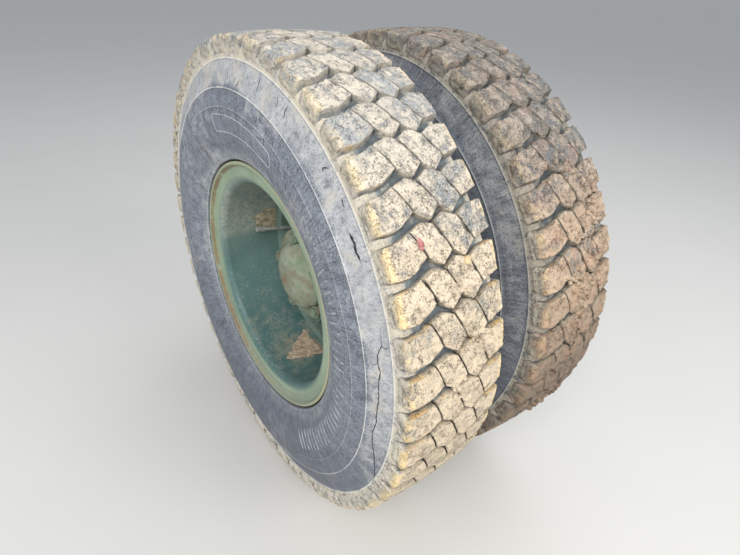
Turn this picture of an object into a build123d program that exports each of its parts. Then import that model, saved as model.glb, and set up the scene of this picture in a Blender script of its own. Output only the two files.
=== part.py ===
from build123d import *
import os
from math import cos, sin, radians, pi, sqrt

os.makedirs("parts", exist_ok=True)

# Twin rear wheel end of a heavy 6x6 truck, in millimetres.
# The wheel axis is Y, +Y runs inboard, +Z is up and +X is to the vehicle's rear.
# The origin is the centre of the axle casing's inboard flange face.
# Profiles are written as (radius, y from the outer rim lip plane, corner radius)
# and are turned about the Y axis.

FACE_Y = 660.0            # outer rim lip plane to the casing flange face
TYRE_R = 546.0            # tread radius
TREAD_HALF_W = 112.5
SECTION_HALF_W = 133.5
RIM_LIP_R = 295.0
BEAD_SEAT_R = 257.0
RIM_WALL_R = 244.5        # bore of the rim, the wall of the dish
RIM_W = 212.0             # over the lips
DUAL_MID = 277.5          # plane where the two discs meet
DISC_T = 11.0
PILOT_R = 140.5
STUD_PCD = 335.0
STUDS = 10
STUD_R = 11.0
FLANGE_PCD = 197.0        # drive flange nuts
FLANGE_NUTS = 5
FLANGE_START = 32.0
HAND_HOLES = 4
HAND_HOLE_ANGLE = 172.0   # from +X towards +Z
HAND_HOLE_R = 220.0
DRUM_BORE_R = 203.0
SHAFT_R = 22.0
CASING_PCD = 180.0
CASING_BOLTS = 12
CASING_HOLE_R = 7.5
SPINDLE_PCD = 172.0


def Y(y):
    return y - FACE_Y


def mirror_y(profile):
    """The same profile turned round about the dual mid plane."""
    return [(r, 2 * DUAL_MID - y, f) for r, y, f in profile]


def turned(profile):
    """A closed (radius, y, fillet) profile revolved about the Y axis."""
    pts = [(r, Y(y)) for r, y, f in profile]
    wire = FilletPolyline(*pts, radius=[f for r, y, f in profile], close=True)
    return revolve(make_face(wire), axis=Axis.Y, revolution_arc=360)


def at(r, deg, y=None):
    a = radians(deg)
    p = (r * cos(a), Y(y) if y is not None else 0.0, r * sin(a))
    return p


def rod(r, x, z, y0, y1):
    """A round bar along Y from y0 to y1."""
    return Pos(x, Y((y0 + y1) / 2), z) * Rot(90, 0, 0) * Cylinder(r, abs(y1 - y0))


def prism(sides, across, x, z, y0, y1, turn=0.0, edge=0.0):
    """A hexagon or square bar along Y, its flats 'across' apart."""
    r = across / 2 / cos(pi / sides)
    body = extrude(RegularPolygon(r, sides, major_radius=True, rotation=turn), abs(y1 - y0))
    body = Pos(0, 0, -abs(y1 - y0) / 2) * body
    body = Pos(x, Y((y0 + y1) / 2), z) * Rot(90, 0, 0) * body
    if edge:
        body = body & (Pos(x, Y((y0 + y1) / 2), z) * Rot(90, 0, 0)
                       * chamfer(Cylinder(r, abs(y1 - y0)).edges().filter_by(GeomType.CIRCLE), edge))
    return body


def ring_of(count, start, make):
    """Like pieces on a circle, kept as solids that don't touch."""
    return [make(start + k * 360.0 / count) for k in range(count)]


def save(name, shape):
    solids = shape if isinstance(shape, list) else [shape]
    flat = [s for item in solids for s in item.solids()]
    out = flat[0] if len(flat) == 1 else Compound(children=flat)
    export_step(out, "parts/" + name + ".step")
    print(name, len(flat), round(sum(s.volume for s in flat) / 1e3), "cm3")


# ---------------------------------------------------------------- tyres
# half section: (radius, distance from the centre plane, fillet)
TYRE_OUT = [(258.0, 87.8, 6), (287.0, 88.0, 5), (298.0, 100.0, 3), (299.5, 106.0, 4), (345.0, 127.5, 70),
            (400.0, 137.5, 90), (452.0, 125.5, 70), (499.0, 107.5, 6), (531.0, 110.5, 3),
            (541.5, 95.0, 20)]
TYRE_IN = [(536.0 - 22.0, 60.0, 40), (500.0, 86.0, 30), (440.0, 108.0, 60), (385.0, 119.0, 80),
           (320.0, 100.0, 40), (290.0, 66.0, 15), (258.0, 62.0, 2)]


def tyre(mid):
    outer = [(r, mid - t, f) for r, t, f in TYRE_OUT]
    crown = [(TYRE_R, mid - 40.0, 60), (TYRE_R, mid + 40.0, 60)]
    outer_b = [(r, mid + t, f) for r, t, f in reversed(TYRE_OUT)]
    inner = [(r, mid + t, f) for r, t, f in reversed(TYRE_IN)]
    inner_b = [(r, mid - t, f) for r, t, f in TYRE_IN]
    return turned(outer + crown + outer_b + inner + inner_b)


TYRE_MID = RIM_W / 2
save("outer_tyre", tyre(TYRE_MID))
save("inner_tyre", tyre(2 * DUAL_MID - TYRE_MID))

# ---------------------------------------------------------------- rims
RIM = [(RIM_LIP_R, 0.0, 2.0), (RIM_LIP_R, 6.5, 2.5), (286.5, 17.5, 7), (BEAD_SEAT_R, 17.5, 5),
       (254.0, 46.0, 0), (252.0, 60.0, 0), (252.0, 176.0, 0), (252.0, 208.0, 1),
       (RIM_WALL_R + 0.5, 208.0, 1), (RIM_WALL_R, 196.0, 0), (RIM_WALL_R, 9.5, 20.0), (282.0, 9.5, 7),
       (288.5, 0.0, 2.5)]
LOCK_RING = [(252.3, 178.0, 0), (254.0, 176.0, 0), (BEAD_SEAT_R, 194.5, 5), (286.5, 194.5, 7),
             (RIM_LIP_R, 205.5, 2.5), (RIM_LIP_R, 212.0, 2), (288.5, 212.0, 2.5), (282.0, 202.5, 7),
             (264.0, 202.5, 8), (254.5, 209.0, 2), (252.3, 204.0, 0)]
# pressed disc: dish side first, from the rim wall to the pilot bore
DISC = [(RIM_WALL_R - 0.2, 176.0, 0), (237.0, 182.0, 8), (231.0, 196.0, 12), (204.0, 246.0, 20),
        (192.0, DUAL_MID - DISC_T, 12), (PILOT_R, DUAL_MID - DISC_T, 1), (PILOT_R, DUAL_MID, 1),
        (197.0, DUAL_MID, 14), (213.0, 252.0, 26), (239.0, 203.0, 8), (RIM_WALL_R - 0.2, 198.0, 0)]


def disc(profile, y0, y1):
    body = turned(profile)
    holes = []
    for k in range(HAND_HOLES):
        a = HAND_HOLE_ANGLE + k * 360.0 / HAND_HOLES
        slot = Pos(0, Y(y1), 0) * Rot(90, 0, 0) * extrude(SlotOverall(66, 31), y1 - y0)
        holes.append(Rot(0, 90 - a, 0) * Pos(0, 0, HAND_HOLE_R) * slot)
    for k in range(STUDS):
        x, _, z = at(STUD_PCD / 2, k * 360.0 / STUDS)
        holes.append(rod(STUD_R + 4.0, x, z, y0, y1))
    return body - holes


save("outer_rim", turned(RIM))
save("inner_rim", turned(mirror_y(RIM)))
save("outer_lock_ring", turned(LOCK_RING))
save("inner_lock_ring", turned(mirror_y(LOCK_RING)))
save("outer_disc", disc(DISC, 165.0, 290.0))
save("inner_disc", disc(mirror_y(DISC), 265.0, 390.0))

# ---------------------------------------------------------------- hub and drum
HUB_FACE = DUAL_MID + DISC_T
HUB_FLANGE_T = 19.5
HUB = [(112.0, 133.0, 2), (112.0, 150.0, 6), (122.0, 200.0, 20), (128.0, 250.0, 10), (PILOT_R - 0.4, 262.0, 2),
       (PILOT_R - 0.4, HUB_FACE, 0), (182.0, HUB_FACE, 3), (182.0, HUB_FACE + HUB_FLANGE_T, 2),
       (118.0, HUB_FACE + HUB_FLANGE_T, 0), (118.0, 330.0, 4), (104.0, 345.0, 8), (104.0, 478.0, 4),
       (85.0, 478.0, 1), (85.0, 425.0, 1), (78.0, 425.0, 0), (74.0, 380.0, 8), (62.0, 300.0, 8),
       (62.0, 201.0, 0), (72.0, 201.0, 0), (72.0, 133.0, 1)]
hub = turned(HUB)
stud_holes = [rod(STUD_R, *[at(STUD_PCD / 2, k * 360.0 / STUDS)[i] for i in (0, 2)], 280, 315)
              for k in range(STUDS)]
save("hub", hub - stud_holes)

DRUM = [(118.3, HUB_FACE + HUB_FLANGE_T, 0), (186.0, HUB_FACE + HUB_FLANGE_T, 3), (218.0, 364.0, 8),
        (218.0, 394.0, 0), (222.0, 396.0, 1), (222.0, 402.0, 1), (218.0, 404.0, 0), (218.0, 430.0, 0),
        (222.0, 432.0, 1), (222.0, 438.0, 1), (218.0, 440.0, 0), (218.0, 482.0, 2), (226.0, 486.0, 1),
        (226.0, 505.0, 2), (DRUM_BORE_R, 505.0, 2), (DRUM_BORE_R, 372.0, 10), (184.0, 320.0, 3),
        (118.3, 320.0, 1)]
drum = turned(DRUM)
drum_holes = [rod(STUD_R, *[at(STUD_PCD / 2, k * 360.0 / STUDS)[i] for i in (0, 2)], 300, 330)
              for k in range(STUDS)]
save("brake_drum", drum - drum_holes)


def wheel_stud(deg):
    x, _, z = at(STUD_PCD / 2, deg)
    return rod(STUD_R - 0.2, x, z, 262.0, 331.0) + rod(13.0, x, z, 320.2, 331.0)


def wheel_nut(deg):
    # outer hexagon nut with its rounded seat in the disc
    x, _, z = at(STUD_PCD / 2, deg)
    y1 = DUAL_MID - DISC_T
    nut = prism(6, 38.0, x, z, y1 - 29.0, y1 - 3.5, turn=deg, edge=2.5)
    seat = rod(18.0, x, z, y1 - 3.5, y1 - 0.1) + rod(14.6, x, z, y1 - 1.0, y1 + 8.0)
    return nut + seat - rod(10.9, x, z, y1 - 40.0, y1 + 20.0)


def cap_nut(deg):
    # threaded sleeve on the stud, with a square end standing out of the outer nut
    x, _, z = at(STUD_PCD / 2, deg)
    y1 = DUAL_MID - DISC_T
    sleeve = rod(10.7, x, z, y1 - 30.0, y1 - 5.0)
    return sleeve + prism(4, 15.0, x, z, y1 - 45.0, y1 - 30.0, turn=deg + 45)


save("wheel_studs", ring_of(STUDS, 0.0, wheel_stud))
save("wheel_nuts", ring_of(STUDS, 0.0, wheel_nut))
save("cap_nuts", ring_of(STUDS, 0.0, cap_nut))

# ---------------------------------------------------------------- drive flange and shaft
FLANGE_R = 116.0
CAP_R = 87.0
SHAFT = [(0.0, 76.5, 0), (52.0, 78.0, 40), (76.0, 87.5, 15), (CAP_R, 103.0, 8), (CAP_R, 118.0, 3), (FLANGE_R, 118.0, 3),
         (FLANGE_R, 132.9, 3), (71.5, 132.9, 0), (71.5, 138.0, 1), (SHAFT_R + 3, 138.0, 3),
         (SHAFT_R, 190.0, 0), (SHAFT_R, 648.0, 0), (SHAFT_R + 2, 655.0, 0), (SHAFT_R + 2, 720.0, 3),
         (0.0, 720.0, 0)]
shaft = turned(SHAFT)
for k in range(FLANGE_NUTS):
    x, _, z = at(FLANGE_PCD / 2, k * 360.0 / FLANGE_NUTS + FLANGE_START)
    shaft = shaft - rod(10.2, x, z, 112, 136) - rod(18.5, x, z, 70.0, 117.9)
save("axle_shaft", shaft)


def flange_nut(deg):
    x, _, z = at(FLANGE_PCD / 2, deg)
    return (prism(6, 30.0, x, z, 102.0, 117.8, turn=deg, edge=1.8) + rod(9.9, x, z, 97.5, 132.5))


save("drive_flange_nuts", ring_of(FLANGE_NUTS, FLANGE_START, flange_nut))

# ---------------------------------------------------------------- spindle and bearings
SPINDLE = [(30.0, 148.0, 1), (42.0, 148.0, 2), (42.0, 160.0, 0), (45.0, 161.0, 0), (45.0, 205.0, 0),
           (50.0, 230.0, 6), (54.0, 405.0, 6), (57.0, 424.0, 0), (57.0, 471.0, 0), (64.0, 473.0, 2),
           (64.0, 486.0, 10), (70.0, 512.0, 3), (105.0, 512.0, 2), (105.0, 530.0, 0), (30.0, 530.0, 0)]
BEARINGS = [("outer", 45.05, 71.8, 163.0, 200.8), ("inner", 57.05, 84.8, 426.0, 469.0)]
spindle = turned(SPINDLE)
for k in range(CASING_BOLTS):
    x, _, z = at(SPINDLE_PCD / 2, k * 360.0 / CASING_BOLTS + 15.0)
    spindle = spindle - rod(7.0, x, z, 505, 535)
save("spindle", spindle)
save("wheel_bearings", [turned([(a, y0, 0), (b, y0, 0), (b, y1, 0), (a, y1, 0)])
                        for name, a, b, y0, y1 in BEARINGS])

# ---------------------------------------------------------------- backing plate
PLATE = [(36.0, 530.0, 0), (112.0, 530.0, 5), (138.0, 512.0, 6), (226.0, 512.0, 0),
         (226.0, 522.0, 0), (222.5, 522.0, 0), (222.5, 515.6, 3), (139.5, 515.6, 6), (114.0, 534.0, 6),
         (36.0, 534.0, 0)]
plate = turned(PLATE)
for k in range(CASING_BOLTS):
    x, _, z = at(SPINDLE_PCD / 2, k * 360.0 / CASING_BOLTS + 15.0)
    plate = plate - rod(7.0, x, z, 525, 540)
for deg in (35.0, 145.0):
    x, _, z = at(186.0, deg)
    plate = plate - rod(12.0, x, z, 505, 530)
save("backing_plate", plate)

# wheel cylinder's back, its two screws and its bleed screw
cyl = Pos(0, Y(524.0), 178.0) * Box(84, 16.8, 34)
cyl = fillet(cyl.edges().filter_by(Axis.Y), 8)
for x in (-30.0, 30.0):
    cyl = cyl + prism(6, 17.0, x, 178.0, 532.4, 541.0, turn=0, edge=1)
cyl = cyl + rod(9.0, 0.0, 170.0, 532.0, 540.0) + prism(6, 11.0, 14.0, 187.0, 532.0, 546.0)
save("wheel_cylinder", cyl)

# anchor pins at the foot of the plate, and cam adjusters at its sides
PLATE_FITTINGS = [("anchor_pins", 168.0, (258.0, 282.0), 13.0, 27.0, 14.0),
                  ("cam_adjusters", 172.0, (0.0, 180.0), 8.0, 19.0, 10.0)]
for name, r, angles, pin_r, across, height in PLATE_FITTINGS:
    items = []
    for deg in angles:
        x, _, z = at(r, deg)
        items.append(rod(pin_r * 1.5, x, z, 515.6, 519.0) + prism(6, across, x, z, 519.0, 519.0 + height, edge=1.5)
                     + rod(pin_r * 0.75, x, z, 519.0, 519.0 + height + 7.0))
    save(name, items)

# ---------------------------------------------------------------- axle casing end
CASING = [(36.0, 534.0, 0), (105.0, 534.0, 2), (105.0, 551.0, 3), (70.0, 551.0, 3), (66.0, 585.0, 20),
          (66.0, 620.0, 10), (74.0, 642.0, 6), (110.0, 642.0, 3), (110.0, FACE_Y, 1), (36.0, FACE_Y, 1)]
casing = turned(CASING)
for k in range(CASING_BOLTS):
    x, _, z = at(SPINDLE_PCD / 2, k * 360.0 / CASING_BOLTS + 15.0)
    casing = casing - rod(7.0, x, z, 530, 556)
    x, _, z = at(CASING_PCD / 2, k * 360.0 / CASING_BOLTS + 15.0)
    casing = casing - rod(CASING_HOLE_R, x, z, 630, 670)
save("axle_casing_end", casing)


def casing_bolt(deg):
    x, _, z = at(SPINDLE_PCD / 2, deg)
    return (rod(6.9, x, z, 500.0, 566.0) + prism(6, 21.0, x, z, 500.0, 511.9, turn=deg, edge=1.2)
            + prism(6, 21.0, x, z, 551.1, 562.0, turn=deg, edge=1.2))


save("casing_bolts", ring_of(CASING_BOLTS, 15.0, casing_bolt))

# ---------------------------------------------------------------- brake pipe
PIPE_R = 4.0
PIPE = [(0.0, 540.0, 170.0), (0.0, 556.0, 170.0), (0.0, 556.0, 84.0), (0.0, 614.0, 84.0),
        (0.0, 636.0, 130.0), (0.0, FACE_Y, 130.0)]
line = FilletPolyline(*[(x, Y(y), z) for x, y, z in PIPE], radius=[11.0, 16.0, 12.0, 10.0])
pipe = sweep(Plane(line @ 0, z_dir=line % 0) * Circle(PIPE_R), path=line)
pipe = pipe + prism(6, 14.0, 0.0, 170.0, 540.0, 549.0) + prism(6, 14.0, 0.0, 130.0, FACE_Y - 14.0, FACE_Y)
save("brake_pipe", pipe)

# ---------------------------------------------------------------- valve stems
STEM_R = 5.2


def stem(*route):
    """route is (r, angle, y) from the rim wall to the tip."""
    pts = [tuple(at(r, deg, y)) for r, deg, y in route]
    path = FilletPolyline(*pts, radius=9.0)
    tube = sweep(Plane(path @ 0, z_dir=path % 0) * Circle(STEM_R), path=path)
    tip, run = path @ 1, path % 1
    cap = Plane(tip - run * 6, z_dir=run) * Cylinder(STEM_R + 1.9, 22.0)
    return tube + cap


save("outer_valve_stem", stem((RIM_WALL_R - 0.3, 352, 150), (228, 352, 150), (224, 352, 98)))
save("inner_valve_stem", stem((RIM_WALL_R - 0.3, 178, 449), (231.5, 178, 449), (224, 177, 345), (216, 175.5, 212),
                               (222.5, 171.3, 106)))
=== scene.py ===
import bpy
import bmesh
import numpy as np
from math import cos, sin, radians, pi
from mathutils import Matrix


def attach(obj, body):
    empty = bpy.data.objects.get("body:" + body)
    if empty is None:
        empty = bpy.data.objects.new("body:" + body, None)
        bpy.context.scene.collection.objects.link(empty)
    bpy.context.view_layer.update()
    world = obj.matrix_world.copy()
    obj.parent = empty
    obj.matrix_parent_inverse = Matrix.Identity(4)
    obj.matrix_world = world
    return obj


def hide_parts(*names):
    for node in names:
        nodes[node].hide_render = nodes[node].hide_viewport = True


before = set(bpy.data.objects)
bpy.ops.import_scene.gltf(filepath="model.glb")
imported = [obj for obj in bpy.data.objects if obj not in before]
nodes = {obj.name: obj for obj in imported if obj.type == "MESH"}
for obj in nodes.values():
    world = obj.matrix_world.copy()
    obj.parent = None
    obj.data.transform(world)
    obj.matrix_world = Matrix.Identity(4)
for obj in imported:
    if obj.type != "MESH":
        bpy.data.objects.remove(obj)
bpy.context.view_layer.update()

# Wheel axis is Y. FACE is the distance from the outer rim's lip plane to the origin.
FACE = 0.660
OUTER_MID = 0.106 - FACE
INNER_MID = 0.449 - FACE
TREAD_R = 545.7          # mm, crown of the tread blocks
PITCHES = 47
MM_PER_DEG = 9.529       # along the crown
FLOOR_Z = -0.546


# ------------------------------------------------------------------ noise in arrays
def _hash(ix, iy, iz, seed):
    h = (ix.astype(np.int64) * 374761393 + iy.astype(np.int64) * 668265263
         + iz.astype(np.int64) * 2147483647 + seed * 974634777) & 0xFFFFFFFF
    h = ((h ^ (h >> 13)) * 1274126177) & 0xFFFFFFFF
    h = ((h ^ (h >> 16)) * 2246822519) & 0xFFFFFFFF
    return ((h ^ (h >> 15)) & 0xFFFFFF) / float(0xFFFFFF)


def vnoise(p, seed=0):
    """Smooth value noise, 0 to 1, at points p (N, 3)."""
    i = np.floor(p).astype(np.int64)
    f = p - i
    f = f * f * (3 - 2 * f)
    out = np.zeros(len(p))
    for dx in (0, 1):
        wx = f[:, 0] if dx else 1 - f[:, 0]
        for dy in (0, 1):
            wy = f[:, 1] if dy else 1 - f[:, 1]
            for dz in (0, 1):
                wz = f[:, 2] if dz else 1 - f[:, 2]
                out += wx * wy * wz * _hash(i[:, 0] + dx, i[:, 1] + dy, i[:, 2] + dz, seed)
    return out


def fbm(p, octaves=3, seed=0, gain=0.5):
    out, amp, total = np.zeros(len(p)), 1.0, 0.0
    q = p.copy()
    for k in range(octaves):
        out += amp * vnoise(q, seed + 17 * k)
        total += amp
        amp *= gain
        q = q * 2.03 + 11.7
    return out / total


def cells(p, seed=0):
    """Distance to the nearest scattered point, and that point's own random number."""
    i = np.floor(p).astype(np.int64)
    best = np.full(len(p), 9.0)
    tag = np.zeros(len(p))
    for dx in (-1, 0, 1):
        for dy in (-1, 0, 1):
            for dz in (-1, 0, 1):
                c = i + np.array([dx, dy, dz])
                q = np.stack([c[:, k] + _hash(c[:, 0], c[:, 1], c[:, 2], seed + 31 * k) for k in range(3)], -1)
                d = np.linalg.norm(q - p, axis=1)
                near = d < best
                best = np.where(near, d, best)
                tag = np.where(near, _hash(c[:, 0], c[:, 1], c[:, 2], seed + 5), tag)
    return best, tag


def smooth(x, a, b):
    t = np.clip((x - a) / (b - a), 0, 1)
    return t * t * (3 - 2 * t)


# ------------------------------------------------------------------ meshes from arrays
def make_mesh(name, verts, face_sets, attrs=None, shade=True):
    """face_sets is a list of integer arrays (M, k), one for each number of corners."""
    me = bpy.data.meshes.new(name)
    verts = np.asarray(verts, np.float32)
    me.vertices.add(len(verts))
    me.vertices.foreach_set("co", verts.ravel())
    loops = np.concatenate([f.ravel() for f in face_sets]).astype(np.int32)
    totals = np.concatenate([np.full(len(f), f.shape[1]) for f in face_sets]).astype(np.int32)
    starts = np.concatenate([[0], np.cumsum(totals)[:-1]]).astype(np.int32)
    me.loops.add(len(loops))
    me.loops.foreach_set("vertex_index", loops)
    me.polygons.add(len(totals))
    me.polygons.foreach_set("loop_start", starts)
    me.polygons.foreach_set("use_smooth", np.full(len(totals), shade))
    me.update(calc_edges=True)
    me.validate()
    for key, values in (attrs or {}).items():
        a = me.attributes.new(key, "FLOAT", "POINT")
        a.data.foreach_set("value", np.asarray(values, np.float32))
    ob = bpy.data.objects.new(name, me)
    bpy.context.scene.collection.objects.link(ob)
    return ob


def polar(r_mm, deg, y_m):
    a = np.radians(deg)
    r = np.asarray(r_mm) / 1000.0
    return np.stack([r * np.cos(a), np.broadcast_to(y_m, r.shape), r * np.sin(a)], -1)


def grid_faces(rows, cols, wrap_rows=False, wrap_cols=False, flip=False):
    idx = np.arange(rows * cols).reshape(rows, cols)
    a = idx if wrap_rows else idx[:-1]
    b = np.roll(idx, -1, 0) if wrap_rows else idx[1:]
    if wrap_cols:
        a2, b2 = np.roll(a, -1, 1), np.roll(b, -1, 1)
    else:
        a2, b2, a, b = a[:, 1:], b[:, 1:], a[:, :-1], b[:, :-1]
    f = np.stack([a, b, b2, a2], -1).reshape(-1, 4)
    return f[:, ::-1] if flip else f


# ------------------------------------------------------------------ tread blocks
# One pitch of the tread. Each block has four sides, as (mm from the middle of the
# tread, degrees from the pitch's own line): top and foot run left to right, left
# and right run downwards. Left and right are narrow slits or the shoulder.
BLOCKS = {
    "A": dict(top=[(-109, 1.65), (-86, 1.85), (-70, 2.3), (-61.5, 2.9)],
              right=[(-61.5, 2.9), (-56, 2.0), (-48, 0.3), (-40.5, -1.8)],
              foot=[(-109, -3.9), (-81, -3.85), (-68, -3.45), (-54, -2.6), (-40.5, -1.8)],
              left=[(-109, 1.65), (-109, -3.9)], n=(13, 11), ends=("shoulder", "slit")),
    "B": dict(top=[(-56.5, 2.9), (-44, 3.35), (-31, 3.8), (-21, 3.5), (-11.5, 3.1)],
              right=[(-11.5, 3.1), (-2, 1.2), (6, -0.4), (11.5, -1.8)],
              foot=[(-35, -2.0), (-23, -2.8), (-11, -3.6), (0, -2.7), (11.5, -1.8)],
              left=[(-56.5, 2.9), (-50, 1.6), (-42, -0.1), (-35, -2.0)], n=(11, 12), ends=("slit", "slit")),
    "C": dict(top=[(-7, 3.3), (5, 3.9), (17, 4.6), (30, 4.2), (42, 3.4)],
              right=[(42, 3.4), (52, 1.4), (59, -0.2), (63.5, -1.3)],
              foot=[(16.5, -1.8), (26.5, -2.6), (37, -3.4), (49, -2.4), (63.5, -1.3)],
              left=[(-7, 3.3), (2, 1.4), (10, -0.2), (16.5, -1.8)], n=(11, 12), ends=("slit", "slit")),
    "D": dict(top=[(46.5, 3.5), (59, 4.25), (74, 4.9), (109, 5.1)],
              right=[(109, 5.1), (109, -0.1)],
              foot=[(68, -1.2), (76, -0.9), (89, -0.6), (109, -0.1)],
              left=[(46.5, 3.5), (56, 1.6), (64, -0.2), (68, -1.2)], n=(12, 11), ends=("slit", "shoulder")),
}
# rings of a block's wall from its root to its top face: (how far out, height from floor 0 to top 1, mm added)
WALL = [(6.0, 0.0, -1.5), (4.5, 0.0, 0.9), (3.1, 0.25, 0.0), (1.9, 0.58, 0.0), (0.8, 1.0, -1.7),
        (0.45, 1.0, -0.45), (-0.3, 1.0, -0.05), (-2.8, 1.0, 0.0)]
WALL_TOP = [2.2, 1.8, 1.4, 1.0, 0.6, 0.3, -0.4, -2.8]
SLIT = [(0.9, 0.0, -1.5), (0.8, 0.0, 0.9), (0.7, 0.25, 0.0), (0.7, 0.58, 0.0), (0.6, 1.0, -2.0),
        (0.3, 1.0, -0.6), (-0.5, 1.0, -0.1), (-2.6, 1.0, 0.0)]
# the shoulder's face: (mm out from 109, radius), with the moulded pocket in rings 3 and 4
SHOULDER = [(-1.5, 504.0), (0.6, 508.0), (1.7, 515.6), (1.3, 517.6), (1.3, 520.6), (2.4, 523.2),
            (2.0, 536.6), (-2.9, 541.2)]
SHOULDER_PLAIN = [(-1.5, 504.0), (0.6, 508.0), (1.7, 515.6), (2.0, 517.2), (2.3, 521.0), (2.4, 523.2),
                  (2.0, 536.6), (-2.9, 541.2)]


def crown(t):
    return TREAD_R - 4.5 * (t / 100.0) ** 2


def groove_floor(t):
    a = np.abs(t)
    return 530.6 - 2.2 * (a / 90.0) ** 2 - 9.0 * smooth(a, 90, 109)


def resample(points, n):
    p = np.array(points, float)
    p[:, 1] *= MM_PER_DEG
    d = np.concatenate([[0], np.cumsum(np.linalg.norm(np.diff(p, axis=0), axis=1))])
    u = np.linspace(0, d[-1], n + 1)
    for corner in d[1:-1]:  # keep the corners of the outline
        u[np.abs(u - corner).argmin()] = corner
    return np.stack([np.interp(u, d, p[:, k]) for k in (0, 1)], -1)


def block_template(spec):
    nu, nv = spec["n"]
    top, right = resample(spec["top"], nu), resample(spec["right"], nv)
    foot, left = resample(spec["foot"], nu), resample(spec["left"], nv)
    loop = np.concatenate([top[:-1], right[:-1], foot[::-1][:-1], left[::-1][:-1]])
    side = np.concatenate([np.full(nu, 0), np.full(nv, 1), np.full(nu, 2), np.full(nv, 3)])
    kind = {"shoulder": 2.0, "slit": 1.0}
    code = np.choose(side, [0.0, kind[spec["ends"][1]], 0.0, kind[spec["ends"][0]]])
    along = np.concatenate([np.linspace(0, 1, nu, False), np.linspace(0, 1, nv, False),
                            np.linspace(0, 1, nu, False), np.linspace(0, 1, nv, False)])
    loop = 0.02 * np.roll(loop, 1, 0) + 0.96 * loop + 0.02 * np.roll(loop, -1, 0)
    slit, shoulder = (code == 1).astype(float), (code == 2).astype(float)
    pocket = shoulder * smooth(along, 0.10, 0.26) * (1 - smooth(along, 0.72, 0.9))
    upper = (side == 0).astype(float)
    for _ in range(1):
        slit = 0.25 * np.roll(slit, 1) + 0.5 * slit + 0.25 * np.roll(slit, -1)
        shoulder = 0.2 * np.roll(shoulder, 1) + 0.6 * shoulder + 0.2 * np.roll(shoulder, -1)
        upper = 0.2 * np.roll(upper, 1) + 0.6 * upper + 0.2 * np.roll(upper, -1)
    d = np.roll(loop, -1, 0) - np.roll(loop, 1, 0)
    normal = np.stack([-d[:, 1], d[:, 0]], -1)
    normal /= np.linalg.norm(normal, axis=1)[:, None]
    return dict(nu=nu, nv=nv, loop=loop, normal=normal, slit=slit, shoulder=shoulder, pocket=pocket,
                upper=upper)


def coons(loop, nu, nv):
    """Grid (nv + 1, nu + 1, k) inside a closed loop that runs top, right, foot, left."""
    top = loop[:nu + 1]
    right = loop[nu:nu + nv + 1]
    foot = loop[nu + nv:2 * nu + nv + 1][::-1]
    left = np.concatenate([loop[2 * nu + nv:], loop[:1]])[::-1]
    u = np.linspace(0, 1, nu + 1)[None, :, None]
    v = np.linspace(0, 1, nv + 1)[:, None, None]
    return ((1 - v) * top[None] + v * foot[None] + (1 - u) * left[:, None] + u * right[:, None]
            - (1 - u) * (1 - v) * top[0] - u * (1 - v) * top[-1] - (1 - u) * v * foot[0] - u * v * foot[-1])


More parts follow.
